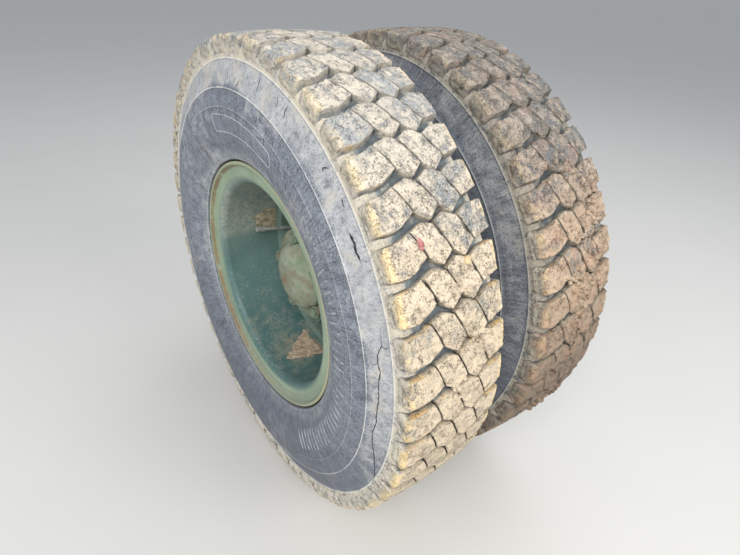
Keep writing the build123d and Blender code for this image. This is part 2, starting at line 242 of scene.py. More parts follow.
def tread_blocks(name, mid, phase, clods, seed):
    all_v, all_q, ngons = [], [], []
    info = []
    base = 0
    rng = np.random.default_rng(seed)
    for key, spec in BLOCKS.items():
        T = block_template(spec)
        loop, nrm = T["loop"], T["normal"]
        sgn = np.sign(loop[:, 0].mean())
        n = len(loop)
        rings_t, rings_s, rings_r, level = [], [], [], []
        for j in range(len(WALL)):
            o = (1 - T["slit"]) * ((1 - T["upper"]) * WALL[j][0] + T["upper"] * WALL_TOP[j]) + T["slit"] * SLIT[j][0]
            p = loop + nrm * o[:, None]
            rt, rf = crown(p[:, 0]), groove_floor(p[:, 0])
            h = WALL[j][1]
            r = rf * (1 - h) + rt * h + WALL[j][2]
            so = T["pocket"] * SHOULDER[j][0] + (1 - T["pocket"]) * SHOULDER_PLAIN[j][0]
            ps = loop + nrm * (WALL[j][0] * 0.3)
            ps_t = sgn * (109.0 + so)
            w = T["shoulder"]
            rings_t.append((1 - w) * p[:, 0] + w * ps_t)
            rings_s.append((1 - w) * p[:, 1] + w * ps[:, 1])
            rings_r.append((1 - w) * r + w * SHOULDER[j][1])
            level.append(np.full(n, j, float))
        inner = np.stack([rings_t[-1], rings_s[-1], rings_r[-1]], -1)
        G = coons(inner, T["nu"], T["nv"])
        gi = G[1:-1, 1:-1].reshape(-1, 3)
        gi[:, 2] = crown(gi[:, 0])
        t = np.concatenate(rings_t + [gi[:, 0]])
        s = np.concatenate(rings_s + [gi[:, 1]])
        r = np.concatenate(rings_r + [gi[:, 2]])
        lev = np.concatenate(level + [np.full(len(gi), len(WALL), float)])
        nx = np.concatenate([nrm[:, 0]] * len(WALL) + [np.zeros(len(gi))])
        ns = np.concatenate([nrm[:, 1]] * len(WALL) + [np.zeros(len(gi))])
        slit_v = np.concatenate([T["slit"] * (j < 6) for j in range(len(WALL))] + [np.zeros(len(gi))])
        slot_v = np.concatenate([T["pocket"] * (j in (3, 4)) for j in range(len(WALL))] + [np.zeros(len(gi))])
        # faces
        ids = np.arange(n)
        nxt = np.roll(ids, -1)
        quads = []
        for j in range(len(WALL) - 1):
            quads.append(np.stack([ids + j * n, nxt + j * n, nxt + (j + 1) * n, ids + (j + 1) * n], -1))
        nu, nv = T["nu"], T["nv"]
        g = np.full((nv + 1, nu + 1), -1)
        last = (len(WALL) - 1) * n
        g[0, :] = last + np.arange(nu + 1)
        g[:, nu] = last + nu + np.arange(nv + 1)
        g[nv, ::-1] = last + nu + nv + np.arange(nu + 1)
        g[1:, 0][::-1] = last + 2 * nu + nv + np.arange(nv)
        g[1:-1, 1:-1] = len(WALL) * n + np.arange((nv - 1) * (nu - 1)).reshape(nv - 1, nu - 1)
        quads.append(np.stack([g[:-1, :-1], g[:-1, 1:], g[1:, 1:], g[1:, :-1]], -1).reshape(-1, 4))
        quads = np.concatenate(quads)[:, ::-1]
        cap = ids.copy()
        for k in range(PITCHES):
            th0 = phase + k * 360.0 / PITCHES
            wear = rng.uniform(0.0, 0.7)
            tilt = rng.normal(0, 0.25, 2)
            info.append((t, s, r - (lev >= 5) * (wear + tilt[0] * s / 25 + tilt[1] * (t - t.mean()) / 25).clip(0, 2),
                         th0, lev, nx, ns, np.full(len(t), rng.uniform()), slit_v, slot_v))
            all_q.append(quads + base)
            ngons.append((cap + base)[None])
            base += len(t)
    t = np.concatenate([i[0] for i in info])
    s = np.concatenate([i[1] for i in info])
    r = np.concatenate([i[2] for i in info])
    th = np.concatenate([i[3] + i[1] / MM_PER_DEG for i in info])
    lev = np.concatenate([i[4] for i in info])
    nx = np.concatenate([i[5] for i in info])
    ns = np.concatenate([i[6] for i in info])
    rnd = np.concatenate([i[7] for i in info])
    slit, slot = np.concatenate([i[8] for i in info]), np.concatenate([i[9] for i in info])
    p = polar(r, th, mid + t / 1000.0)
    rough = fbm(p * 70, 3, seed + 1)
    fine = fbm(p * 210, 2, seed + 2)
    topw = smooth(lev, 4.6, 6.2)
    wallw = (1 - topw) * smooth(lev, 0.5, 1.5)
    # the top face: shallow pits and a crust of dried mud
    dr = -topw * (0.25 + 1.9 * smooth(rough, 0.42, 0.72) + 0.8 * fine)
    side = wallw * (1.5 * (rough - 0.5) + 1.2 * (fine - 0.5))
    # corners and edges worn or broken away here and there
    chip = smooth(fbm(p * 38, 2, seed + 3), 0.62, 0.78)
    edge = np.exp(-((lev - 5.2) / 1.2) ** 2)
    dr -= edge * chip * 3.4
    side -= edge * chip * 2.6
    if clods > 0:
        f1, tag = cells(p * 95, seed + 4)
        lump = np.sqrt(np.clip(1 - (f1 / 0.62) ** 2, 0, 1)) * smooth(tag, 0.35, 0.6)
        area = smooth(fbm(p * 14, 2, seed + 5), 0.40, 0.62)
        side += clods * wallw * lump * area * 4.2
        dr -= clods * topw * (1 - lump * 0.9) * area * 2.2
        dr -= clods * edge * area * 1.2
    if clods > 0.5:  # clods still stuck to the far half of the blocks
        stuck = smooth(t, -25, 25) * smooth(fbm(p * 9, 2, seed + 8), 0.36, 0.52)
        gnarl = fbm(p * 150, 3, seed + 9, 0.65) - 0.5
        dr -= stuck * topw * np.abs(gnarl) * 11.0
        side += stuck * wallw * gnarl * 9.0
    t = t + nx * side
    th = th + ns * side / MM_PER_DEG
    r = np.minimum(r + dr, TREAD_R)
    p = polar(r, th, mid + t / 1000.0)
    depth = np.clip((crown(t) - r) / 15.0, 0, 1)
    strip = smooth(np.abs(t + 9 * (rough - 0.5)), 100.0, 104.5) * smooth(lev, 4.9, 5.9)
    ob = make_mesh(name, p, [np.concatenate(all_q)] + ngons,
                   dict(top=topw, depth=depth, rnd=rnd, shoulder=smooth(np.abs(t), 104, 109), strip=strip,
                        slit=slit, slot=slot, edge=np.exp(-((lev - 4.9) / 0.75) ** 2),
                        wide=smooth(np.abs(t), 60, 90)))
    return ob


# ------------------------------------------------------------------ tyre body
SIDE = [(262, 87.6), (275, 87.7), (285.5, 87.9), (290, 91.6), (294, 95.9), (297.0, 99.6), (298.4, 103.6),
        (300.0, 106.6), (302.6, 108.9), (306.4, 111.0), (310.5, 112.8), (315, 114.5), (320, 116.2), (325, 117.9),
        (330, 119.6), (336, 122.2), (341, 124.5), (348, 127.0), (356, 129.2), (365, 131.1), (375, 132.5),
        (385, 133.3), (395, 133.6), (403, 133.3), (408.4, 132.9), (409.1, 133.6), (410.7, 133.5), (411.4, 132.6),
        (418, 131.8), (426, 130.7), (434, 129.4), (440, 128.3), (444.1, 127.4), (444.7, 128.4), (446.5, 128.0),
        (447.2, 126.6), (454, 124.6), (462, 122.0), (470, 119.3), (478, 116.4), (486, 113.4), (492, 110.9),
        (496.2, 109.1), (496.9, 110.0), (498.7, 109.8), (499.6, 108.8), (503, 108.9), (508, 108.9), (512.5, 108.2),
        (516.5, 106.6), (520, 103.8), (523, 100), (525.2, 95), (526.6, 88), (527.6, 78), (528.6, 66), (529.4, 53),
        (530.0, 40), (530.4, 26), (530.6, 12)]
INSIDE = [(258, 70), (300, 82), (385, 112), (450, 100), (500, 70), (512, 25)]


def tyre_body(name, mid, clods, seed):
    half = np.array(SIDE, float)
    inner = np.array(INSIDE, float)
    prof = np.concatenate([half * [1, -1], [[530.6, 0]], half[::-1], inner, inner[::-1] * [1, -1]])
    outer_n = 2 * len(half) + 1
    cols = PITCHES * 8
    deg = np.arange(cols) * 360.0 / cols
    R = np.repeat(prof[:, 0][:, None], cols, 1)
    T = np.repeat(prof[:, 1][:, None], cols, 1)
    D = np.repeat(deg[None], len(prof), 0)
    p = polar(R.ravel(), D.ravel(), mid + T.ravel() / 1000.0)
    r, t = R.ravel(), T.ravel()
    row = np.repeat(np.arange(len(prof)), cols)
    out = row < outer_n
    tread = out * smooth(r, 515, 526)
    lump = fbm(p * 60, 3, seed + 1)
    fill = tread * (2.6 * smooth(lump, 0.45, 0.75) + 0.6 * fbm(p * 200, 2, seed + 2))
    if clods > 0:
        f1, tag = cells(p * 85, seed + 4)
        fill += clods * tread * np.sqrt(np.clip(1 - (f1 / 0.6) ** 2, 0, 1)) * smooth(tag, 0.2, 0.6) * 5.0
    r = r + fill
    wall = out * (1 - smooth(r, 500, 512)) * smooth(r, 302, 330)
    t = t - np.sign(t) * wall * (0.5 * fbm(p * 25, 3, seed + 3) + 0.12 * fbm(p * 160, 2, seed + 6))
    p = polar(r, D.ravel(), mid + t / 1000.0)
    f = grid_faces(len(prof), cols, wrap_rows=True, wrap_cols=True)
    return make_mesh(name, p, [f], dict(tread=tread, fill=np.clip(fill / 5.0, 0, 1)))


# ------------------------------------------------------------------ small things on the outer sidewall
def wall_t(r_mm, deg, mid, seed):
    """Distance of the sidewall's face from the tyre's middle, as tyre_body makes it."""
    prof = np.array(SIDE, float)
    r_mm, deg = np.asarray(r_mm, float), np.asarray(deg, float)
    t0 = np.interp(r_mm, prof[:, 0], prof[:, 1])
    q = polar(r_mm, deg, mid - t0 / 1000.0)
    w = (1 - smooth(r_mm, 500, 512)) * smooth(r_mm, 302, 330)
    return t0 - w * (0.5 * fbm(q * 25, 3, seed + 3) + 0.12 * fbm(q * 160, 2, seed + 6))


def wall_lines(name, paths, mid=OUTER_MID, seed=3):
    """Low ribs or slivers laid on the sidewall. Each path: points (r mm, degrees), widths
    in mm, height proud of the face, depth below it, and whether it closes on itself."""
    verts, quads, fans, base = [], [], [], 0
    for pts, widths, high, deep, closed in paths:
        q = np.array(pts, float)
        w = np.broadcast_to(np.asarray(widths, float), (len(q),)).copy()
        if closed:
            q, w = np.concatenate([q, q[:1]]), np.concatenate([w, w[:1]])
        step = np.hypot(np.diff(q[:, 0]), 0.5 * (q[1:, 0] + q[:-1, 0]) * np.radians(np.diff(q[:, 1])))
        d = np.concatenate([[0], np.cumsum(step)])
        n = max(4, int(d[-1] / 2.6))
        u = np.linspace(0, d[-1], n + 1)
        line = np.stack([np.interp(u, d, q[:, k]) for k in (0, 1)], -1)
        wide = np.interp(u, d, w)
        if closed:
            line, wide = line[:-1], wide[:-1]
            diff = np.roll(line, -1, 0) - np.roll(line, 1, 0)
        else:
            diff = np.gradient(line, axis=0)
        tan = np.stack([diff[:, 0], line[:, 0] * np.radians(diff[:, 1])], -1)
        tan /= np.linalg.norm(tan, axis=1)[:, None] + 1e-9
        nrm = np.stack([-tan[:, 1], tan[:, 0]], -1)
        m = len(line)
        # around the section: sunk left, left shoulder, right shoulder, sunk right, deep middle
        ring = [(-0.62, -0.25), (-0.30, high), (0.30, high), (0.62, -0.25), (0.0, -deep)]
        for off, lift in ring:
            r = line[:, 0] + nrm[:, 0] * off * wide
            deg = line[:, 1] + np.degrees(nrm[:, 1] * off * wide / line[:, 0])
            verts.append(polar(r, deg, mid - (wall_t(r, deg, mid, seed) + lift) / 1000.0))
        k = len(ring)
        idx = base + np.arange(k * m).reshape(k, m)
        a, b = idx, np.roll(idx, -1, 0)
        if closed:
            quads.append(np.stack([a, b, np.roll(b, -1, 1), np.roll(a, -1, 1)], -1).reshape(-1, 4))
        else:
            quads.append(np.stack([a[:, :-1], b[:, :-1], b[:, 1:], a[:, 1:]], -1).reshape(-1, 4))
            fans.append(idx[:, 0][::-1][None])
            fans.append(idx[:, -1][None])
        base += k * m
    sets = [np.concatenate(quads)[:, ::-1]]
    if fans:
        sets.append(np.concatenate(fans)[:, ::-1])
    return make_mesh(name, np.concatenate(verts), sets)


def crack_path(pts, wide, seed, wander=1.0):
    """A crack's line made uneven, thin at both ends."""
    q = np.array(pts, float)
    rng = np.random.default_rng(seed)
    step = np.hypot(np.diff(q[:, 0]), 0.5 * (q[1:, 0] + q[:-1, 0]) * np.radians(np.diff(q[:, 1])))
    d = np.concatenate([[0], np.cumsum(step)])
    n = max(6, int(d[-1] / 3.4))
    u = np.linspace(0, d[-1], n + 1)
    r = np.interp(u, d, q[:, 0]) + rng.normal(0, 0.55 * wander, n + 1)
    a = np.interp(u, d, q[:, 1]) + np.degrees(rng.normal(0, 0.55 * wander, n + 1) / 450.0)
    w = wide * (0.55 + 0.75 * rng.random(n + 1)) * np.clip(np.sin(np.pi * (u / d[-1])) * 2.2, 0.12, 1)
    return (np.stack([r, a], -1), 1.3 * w, 0.14, 1.6, False)


def wall_mud(name, outline, thick, seed, ragged=6.0):
    """Mud stuck to the inside wall of the outer rim, inside an outline of (y from the lip
    plane, degrees); thin at its ragged edges, where it runs out below the steel's face."""
    o = np.array(outline, float)
    rows, cols = 50, 64
    y0, y1 = o[:, 0].min() - 0.006, min(o[:, 0].max() + 0.006, 0.1745)
    a0, a1 = o[:, 1].min() - 1.6, o[:, 1].max() + 1.6
    Y, D = np.meshgrid(np.linspace(y0, y1, rows), np.linspace(a0, a1, cols), indexing="ij")
    p = polar(np.full(Y.size, 244.5), D.ravel(), Y.ravel() - FACE)
    px, py = np.radians(D.ravel()) * 244.5, Y.ravel() * 1000.0
    qx, qy = np.radians(o[:, 1]) * 244.5, o[:, 0] * 1000.0
    inside = np.zeros(len(px), bool)
    dist = np.full(len(px), 1e9)
    for k in range(len(qx)):
        x1, v1, x2, v2 = qx[k], qy[k], qx[(k + 1) % len(qx)], qy[(k + 1) % len(qx)]
        cross = (v1 > py) != (v2 > py)
        with np.errstate(divide="ignore", invalid="ignore"):
            xi = (x2 - x1) * (py - v1) / (v2 - v1 if v2 != v1 else 1e-9) + x1
        inside ^= cross & (px < xi)
        d2 = (x2 - x1) ** 2 + (v2 - v1) ** 2
        u = np.clip(((px - x1) * (x2 - x1) + (py - v1) * (v2 - v1)) / d2, 0, 1)
        dist = np.minimum(dist, np.hypot(px - x1 - u * (x2 - x1), py - v1 - u * (v2 - v1)))
    dist = np.where(inside, dist, -dist)
    n1, n2 = fbm(p * 60, 4, seed, 0.6), fbm(p * 210, 3, seed + 1)
    h = np.clip((dist + ragged * (n1 - 0.5) * 2.0) / 7.0, -0.6, 1.0)
    h = h * thick + np.where(h > 0, 1.1 * (n2 - 0.5) + 1.2 * (n1 - 0.5), 0.0)
    face = polar(244.5 - np.clip(h, -0.6, thick * 1.6), D.ravel(), Y.ravel() - FACE)
    back = polar(np.full(Y.size, 246.2), D.ravel(), Y.ravel() - FACE)
    f = grid_faces(rows, cols)
    N = rows * cols
    idx = np.arange(N).reshape(rows, cols)
    rim = np.concatenate([idx[0, :-1], idx[:-1, -1], idx[-1, :0:-1], idx[:0:-1, 0]])
    nxt = np.roll(rim, -1)
    sides = np.stack([nxt, rim, rim + N, nxt + N], -1)
    return make_mesh(name, np.concatenate([face, back]), [np.concatenate([f, f[:, ::-1] + N, sides])])


def pebble(name, r_mm, deg, y_m, size, seed):
    """A small uneven stone, size in mm along the three directions."""
    nu, nv = 20, 12
    th = np.linspace(0, 2 * pi, nu, False)
    ph = np.linspace(0.0, pi, nv + 2)[1:-1]
    P, T = np.meshgrid(ph, th, indexing="ij")
    q = np.stack([np.sin(P) * np.cos(T), np.sin(P) * np.sin(T), np.cos(P)], -1).reshape(-1, 3)
    q = np.concatenate([q, [[0, 0, 1.0], [0, 0, -1.0]]])
    k = 0.72 + 0.62 * fbm(q * 1.7 + 9.0, 3, seed)
    q = q * k[:, None]
    q = np.sign(q) * np.abs(q) ** 0.86 * np.array(size) / 2.0
    a = radians(deg)
    out, along = np.array([cos(a), 0, sin(a)]), np.array([-sin(a), 0, cos(a)])
    c = polar(np.array([r_mm]), np.array([deg]), y_m)[0]
    v = c + (q[:, :1] * along + q[:, 1:2] * np.array([0, 1.0, 0]) + q[:, 2:] * out) / 1000.0
    f = grid_faces(nv, nu, wrap_cols=True)
    n = nu * nv
    i = np.arange(nu)
    j = np.roll(i, -1)
    tri = np.concatenate([np.stack([i, j, np.full(nu, n)], -1),
                          np.stack([j + n - nu, i + n - nu, np.full(nu, n + 1)], -1)])
    return make_mesh(name, v, [f, tri])


def crumbs(name, mid, groups, seed):
    """Small clods stuck on and between the blocks, in groups."""
    rng = np.random.default_rng(seed)
    nu, nv = 9, 5
    th = np.linspace(0, 2 * pi, nu, False)
    ph = np.linspace(0.0, pi, nv + 2)[1:-1]
    P, T = np.meshgrid(ph, th, indexing="ij")
    ball = np.stack([np.sin(P) * np.cos(T), np.sin(P) * np.sin(T), np.cos(P)], -1).reshape(-1, 3)
    ball = np.concatenate([ball, [[0, 0, 1.0], [0, 0, -1.0]]])
    n = nu * nv
    i = np.arange(nu)
    j = np.roll(i, -1)
    f = grid_faces(nv, nu, wrap_cols=True)
    tri = np.concatenate([np.stack([i, j, np.full(nu, n)], -1),
                          np.stack([j + n - nu, i + n - nu, np.full(nu, n + 1)], -1)])
    verts, quads, tris, rnd, base = [], [], [], [], 0
    for _ in range(groups):
        t0, d0 = rng.uniform(-22.0, 86.0), rng.uniform(-30.0, 40.0)
        for _ in range(int(rng.integers(7, 17))):
            t, d = t0 + rng.normal(0, 10.0), d0 + rng.normal(0, 10.0) / MM_PER_DEG
            size = rng.uniform(6.0, 17.0) * rng.uniform(0.75, 1.25, 3)
            deep, tag = rng.uniform(1.0, 7.0), rng.uniform()
            if abs(t) > 96:
                continue
            q = ball * (0.66 + 0.75 * fbm(ball * 2.1 + 9.0 + 7.0 * tag, 3, seed))[:, None] * size / 2.0
            a = radians(d)
            out, along = np.array([cos(a), 0, sin(a)]), np.array([-sin(a), 0, cos(a)])
            c = polar(crown(np.array([t])) - deep, np.array([d]), mid + t / 1000.0)[0]
            v = c + (q[:, :1] * along + q[:, 1:2] * np.array([0, 1.0, 0]) + q[:, 2:] * out) / 1000.0
            v[:, 0] = np.minimum(v[:, 0], 0.5445)
            verts.append(v)
            quads.append(f + base)
            tris.append(tri + base)
            rnd.append(np.full(len(v), tag))
            base += len(v)
    return make_mesh(name, np.concatenate(verts), [np.concatenate(quads), np.concatenate(tris)],
                     dict(top=np.ones(base), rnd=np.concatenate(rnd)))


# ------------------------------------------------------------------ materials
def srgb(*c):
    c = np.array(c, float) / 255.0
    lin = np.where(c <= 0.04045, c / 12.92, ((c + 0.055) / 1.055) ** 2.4)
    return (float(lin[0]), float(lin[1]), float(lin[2]), 1.0)


class Mat:
    def __init__(self, name):
        self.m = bpy.data.materials.new(name)
        self.m.use_nodes = True
        self.t = self.m.node_tree
        self.t.nodes.clear()
        self.out = self.t.nodes.new("ShaderNodeOutputMaterial")
        self.bsdf = self.t.nodes.new("ShaderNodeBsdfPrincipled")
        self.t.links.new(self.bsdf.outputs[0], self.out.inputs[0])
        tc = self.t.nodes.new("ShaderNodeTexCoord")
        self.P = tc.outputs["Object"]
        self.NRM = tc.outputs["Normal"]

    def put(self, sock, v):
        if hasattr(v, "is_linked"):
            self.t.links.new(v, sock)
        else:
            sock.default_value = v

    def math(self, op, a, b=0.0, c=None, clamp=False):
        n = self.t.nodes.new("ShaderNodeMath")
        n.operation = op
        n.use_clamp = clamp
        self.put(n.inputs[0], a)
        self.put(n.inputs[1], b)
        if c is not None:
            self.put(n.inputs[2], c)
        return n.outputs[0]

    def vmath(self, op, a, b=None, scale=None):
        n = self.t.nodes.new("ShaderNodeVectorMath")
        n.operation = op
        self.put(n.inputs[0], a)
        if b is not None:
            self.put(n.inputs[1], b)
        if scale is not None:
            self.put(n.inputs["Scale"], scale)
        return n.outputs[1] if op in ("LENGTH", "DISTANCE", "DOT_PRODUCT") else n.outputs[0]

    def sep(self, v):
        n = self.t.nodes.new("ShaderNodeSeparateXYZ")
        self.put(n.inputs[0], v)
        return n.outputs[0], n.outputs[1], n.outputs[2]

    def comb(self, x, y, z):
        n = self.t.nodes.new("ShaderNodeCombineXYZ")
        for i, v in enumerate((x, y, z)):
            self.put(n.inputs[i], v)
        return n.outputs[0]

    def noise(self, vec, scale, detail=4.0, rough=0.55, distort=0.0):
        n = self.t.nodes.new("ShaderNodeTexNoise")
        self.put(n.inputs["Vector"], vec)
        n.inputs["Scale"].default_value = scale
        n.inputs["Detail"].default_value = detail
        n.inputs["Roughness"].default_value = rough
        n.inputs["Distortion"].default_value = distort
        return n.outputs["Fac"]

    def voronoi(self, vec, scale, feature="F1", randomness=1.0):
        n = self.t.nodes.new("ShaderNodeTexVoronoi")
        n.feature = feature
        self.put(n.inputs["Vector"], vec)
        n.inputs["Scale"].default_value = scale
        n.inputs["Randomness"].default_value = randomness
        return n.outputs["Distance"]

    def step(self, v, a, b, lo=0.0, hi=1.0):
        n = self.t.nodes.new("ShaderNodeMapRange")
        n.interpolation_type = "SMOOTHSTEP"
        n.clamp = True
        self.put(n.inputs["Value"], v)
        self.put(n.inputs["From Min"], a)
        self.put(n.inputs["From Max"], b)
        n.inputs["To Min"].default_value = lo
        n.inputs["To Max"].default_value = hi
        return n.outputs["Result"]

    def mix(self, fac, a, b, mode="MIX"):
        n = self.t.nodes.new("ShaderNodeMix")
        n.data_type = "RGBA"
        n.blend_type = mode
        n.clamp_factor = True
        self.put(n.inputs[0], fac)
        self.put(n.inputs[6], a)
        self.put(n.inputs[7], b)
        return n.outputs[2]

    def attr(self, name):
        n = self.t.nodes.new("ShaderNodeAttribute")
        n.attribute_name = name
        return n.outputs["Fac"]

    def add(self, *vs):
        out = vs[0]
        for v in vs[1:]:
            out = self.math("ADD", out, v)
        return out

    def mul(self, *vs):
        out = vs[0]
        for v in vs[1:]:
            out = self.math("MULTIPLY", out, v)
        return out

    def inv(self, v):
        return self.math("SUBTRACT", 1.0, v, clamp=True)

    def polar(self):
        """radius, angle in radians, y, and a vector that unrolls the wheel"""
        x, y, z = self.sep(self.P)
        r = self.math("SQRT", self.add(self.mul(x, x), self.mul(z, z)))
        a = self.math("ARCTAN2", z, x)
        return r, a, y

    def done(self, color, rough, height=None, strength=0.5, distance=0.002, metallic=0.0, spec=0.5):
        b = self.bsdf
        self.put(b.inputs["Base Color"], color)
        self.put(b.inputs["Roughness"], rough)
        self.put(b.inputs["Metallic"], metallic)
        b.inputs["Specular IOR Level"].default_value = spec
        if height is not None:
            n = self.t.nodes.new("ShaderNodeBump")
            n.inputs["Strength"].default_value = strength
            n.inputs["Distance"].default_value = distance
            self.put(n.inputs["Height"], height)
            self.t.links.new(n.outputs[0], b.inputs["Normal"])
        return self.m


def tread_material(name, mud_a, mud_b, mud_c, bare=0.0, red=0.0, tone=1.0):
    """Dried mud over aged rubber, for the tread blocks."""
    g = Mat(name)
    top, depth, rnd = g.attr("top"), g.attr("depth"), g.attr("rnd")
    x, y, z = g.sep(g.P)
    big = g.noise(g.P, 11.0, 3.0)
    mid = g.noise(g.P, 52.0, 6.0, 0.66)
    soft = g.noise(g.P, 30.0, 3.0, 0.5)
    speck = g.noise(g.P, 330.0, 5.0, 0.70)
    grit = g.noise(g.P, 900.0, 3.0, 0.7)
    clump = g.noise(g.P, 85.0, 4.0, 0.6)
    high = g.step(z, 0.08, 0.46)
    # bare rubber of a top face: worn grey with pale and dark grain
    rubber = g.mix(g.step(speck, 0.38, 0.62), srgb(106, 108, 110), srgb(158, 160, 160))
    rubber = g.mix(g.step(high, 0.75, 0.15), rubber, g.mix(g.step(speck, 0.38, 0.62), srgb(132, 131, 127), srgb(178, 174, 164)))
    rubber = g.mix(g.mul(g.step(mid, 0.46, 0.64), 0.65), rubber, srgb(190, 191, 188))
    mud = g.mix(g.step(soft, 0.36, 0.64), mud_b, mud_a)
    mud = g.mix(g.mul(g.step(speck, 0.50, 0.66), 0.50), mud, mud_c)
    mud = g.mix(g.mul(g.step(speck, 0.49, 0.38), 0.38), mud, srgb(154, 140, 122))
    cover = g.add(g.mul(big, 0.48), g.mul(mid, 0.88), g.mul(speck, 0.13), g.mul(rnd, 0.14), g.mul(high, -0.110))
    cover_top = g.step(cover, 0.61 + bare, 0.83 + bare)
    topc = g.mix(cover_top, rubber, mud)
    # clusters of dark grain where the crust has pulled away
    grain = g.mul(g.step(clump, 0.50, 0.64), g.step(g.add(g.mul(speck, 0.7), g.mul(grit, 0.3)), 0.50, 0.41))
    topc = g.mix(g.mul(grain, 0.44), topc, srgb(96, 92, 88))
    # walls: pale yellow-brown mud, washed off lower down
    wall_mud = g.mix(g.step(mid, 0.35, 0.68), srgb(180, 156, 126) if red else srgb(212, 174, 118), srgb(200, 178, 148) if red else srgb(228, 202, 156))
    own = g.step(g.add(soft, g.mul(g.attr("wide"), -0.16), g.mul(high, 0.12)), 0.34, 0.46)
    own = g.math("MAXIMUM", own, g.step(z, 0.06, -0.08))
    wall_mud = g.mix(g.mul(own, 0.92), wall_mud, g.mix(g.step(speck, 0.4, 0.6), srgb(168, 158, 142), srgb(202, 190, 168)))
    wall_mud = g.mix(g.mul(g.step(speck, 0.5, 0.72), 0.5), wall_mud, mud_c)
    wall_rub = g.mix(g.step(mid, 0.4, 0.6), srgb(104, 112, 118), srgb(150, 156, 156))
    low = g.step(g.add(depth, g.mul(g.add(mid, -0.5), 0.8), g.mul(g.add(big, -0.5), 0.9)), 0.56, 0.84)
    wall = g.mix(g.mul(low, 0.85), wall_mud, wall_rub)
    face = g.mix(g.step(speck, 0.4, 0.6), srgb(198, 190, 172), srgb(224, 217, 202))
    face = g.mix(g.mul(g.step(clump, 0.50, 0.62), 0.4), face, srgb(158, 155, 148))
    face = g.mix(g.mul(g.step(z, 0.20, 0.42), g.step(mid, 0.38, 0.6), 0.75), face, srgb(226, 208, 174))
    wall = g.mix(g.attr("shoulder"), wall, face)
    col = g.mix(top, wall, topc)
    yellow = g.mix(g.step(speck, 0.4, 0.62), srgb(232, 202, 146), srgb(247, 226, 178))
    col = g.mix(g.mul(g.attr("strip"), g.step(g.add(mid, g.mul(rnd, 0.35)), 0.50, 0.66), g.step(z, -0.42, 0.0, 0.35, 0.85), 0.45 if red else 1.0), col, yellow)
    # short winding cracks in the crust, and a ragged dark line along the edges
    vein = g.math("ABSOLUTE", g.math("SUBTRACT", g.noise(g.P, 34.0, 4.0, 0.6), 0.5))
    crack = g.mul(g.step(vein, 0.0085, 0.0025), g.step(g.noise(g.P, 26.0, 2.0), 0.50, 0.60))
    warp = g.vmath("ADD", g.P, g.vmath("SCALE", g.comb(mid, speck, mid), scale=0.016))
    web = g.mul(g.step(g.voronoi(warp, 95.0, "DISTANCE_TO_EDGE"), 0.045, 0.010), g.step(g.noise(g.P, 38.0, 2.0), 0.57, 0.64))
    crack = g.math("MAXIMUM", crack, g.mul(web, 0.7))
    split = g.mul(g.step(g.math("ABSOLUTE", g.math("SUBTRACT", g.noise(g.P, 60.0, 4.0, 0.62, 0.4), 0.5)), 0.012, 0.003), g.step(clump, 0.50, 0.58))
    crack = g.math("MAXIMUM", crack, g.mul(split, 0.85))
    pits = g.step(g.add(g.mul(speck, 0.7), g.mul(grit, 0.3)), 0.395, 0.350)
    line = g.mul(g.attr("edge"), g.step(g.add(mid, g.mul(speck, 0.5)), 0.77, 0.87), g.inv(g.mul(g.attr("shoulder"), 0.6)))
    dark = g.math("MAXIMUM", g.mul(crack, 0.7), g.mul(pits, 0.38))
    dark = g.math("MAXIMUM", dark, g.mul(line, 0.95))
    col = g.mix(dark, col, srgb(52, 52, 54))
    shade = g.mul(g.inv(top), g.inv(g.attr("shoulder")), g.step(depth, 0.10, 0.85))
    col = g.mix(g.mul(shade, 0.52), col, srgb(94, 91, 84))
    # painted shade: the slits darker down their depth, and the shoulder pockets darker inside
    slit = g.mul(g.attr("slit"), g.step(depth, 0.04, 0.30))
    col = g.mix(g.mul(slit, g.step(mid, 0.66, 0.5, 0.55, 0.95)), col, srgb(44, 43, 42))
    col = g.mix(g.mul(g.attr("slot"), g.step(g.add(mid, g.mul(rnd, 0.3)), 0.74, 0.56), 0.30), col, srgb(120, 114, 104))
    ends = g.math("MAXIMUM", g.step(z, 0.26, 0.46), g.step(z, -0.12, -0.40))
    col = g.mix(g.mul(ends, 0.04 if red else 0.24), col, srgb(214, 214, 210))
    if red:
        # painted shade: the inner tread darker low down on its near side and across its top
        col = g.mix(g.mul(g.step(z, 0.24, -0.14), g.step(x, -0.20, 0.10, 0.20, 1.0), 0.70), col, srgb(106, 97, 88))
        col = g.mix(g.mul(g.step(z, 0.22, 0.44), 0.50), col, srgb(104, 100, 92))
        col = g.mix(g.mul(g.step(g.noise(g.P, 24.0, 4.0), 0.5, 0.66), red), col, srgb(196, 150, 126))
    # the top of the wheel is greyer, partly grey rubber and dust and partly painted sky reflection; the side that
    # faces out and back more tan
    upper = g.mul(g.step(z, 0.12, 0.44), top)
    weather_and_sheen = g.add(g.mul(mid, 0.55), g.mul(speck, 0.65))
    col = g.mix(g.mul(upper, g.step(weather_and_sheen, 0.59, 0.70), 0.36), col, srgb(224, 220, 210))
    col = g.mix(g.mul(upper, g.step(weather_and_sheen, 0.585, 0.49), 0.50), col, srgb(96, 101, 106))
    # painted sky reflection: a bluish tint over the upper part of the wheel
    col = g.mix(g.mul(g.step(z, 0.18, 0.50), 0.12), col, srgb(160, 166, 172))
    # painted shade: a tone below 1 darkens the whole copy, used for the inner tyre
    if tone != 1.0:
        col = g.mix(1.0, col, (tone, tone, tone, 1.0), "MULTIPLY")
    rough = g.step(cover_top, 0.0, 1.0, 0.75, 0.95)
    h = g.add(g.mul(mid, 1.0), g.mul(speck, 0.7), g.mul(grit, 0.2), g.mul(cover_top, 0.4), g.mul(crack, -0.6), g.mul(grain, -0.4), g.mul(pits, -0.4))
    if red:
        h = g.add(h, g.mul(clump, 1.4))
    return g.done(col, rough, h, 0.95, 0.0042 if red else 0.0028, spec=0.3)


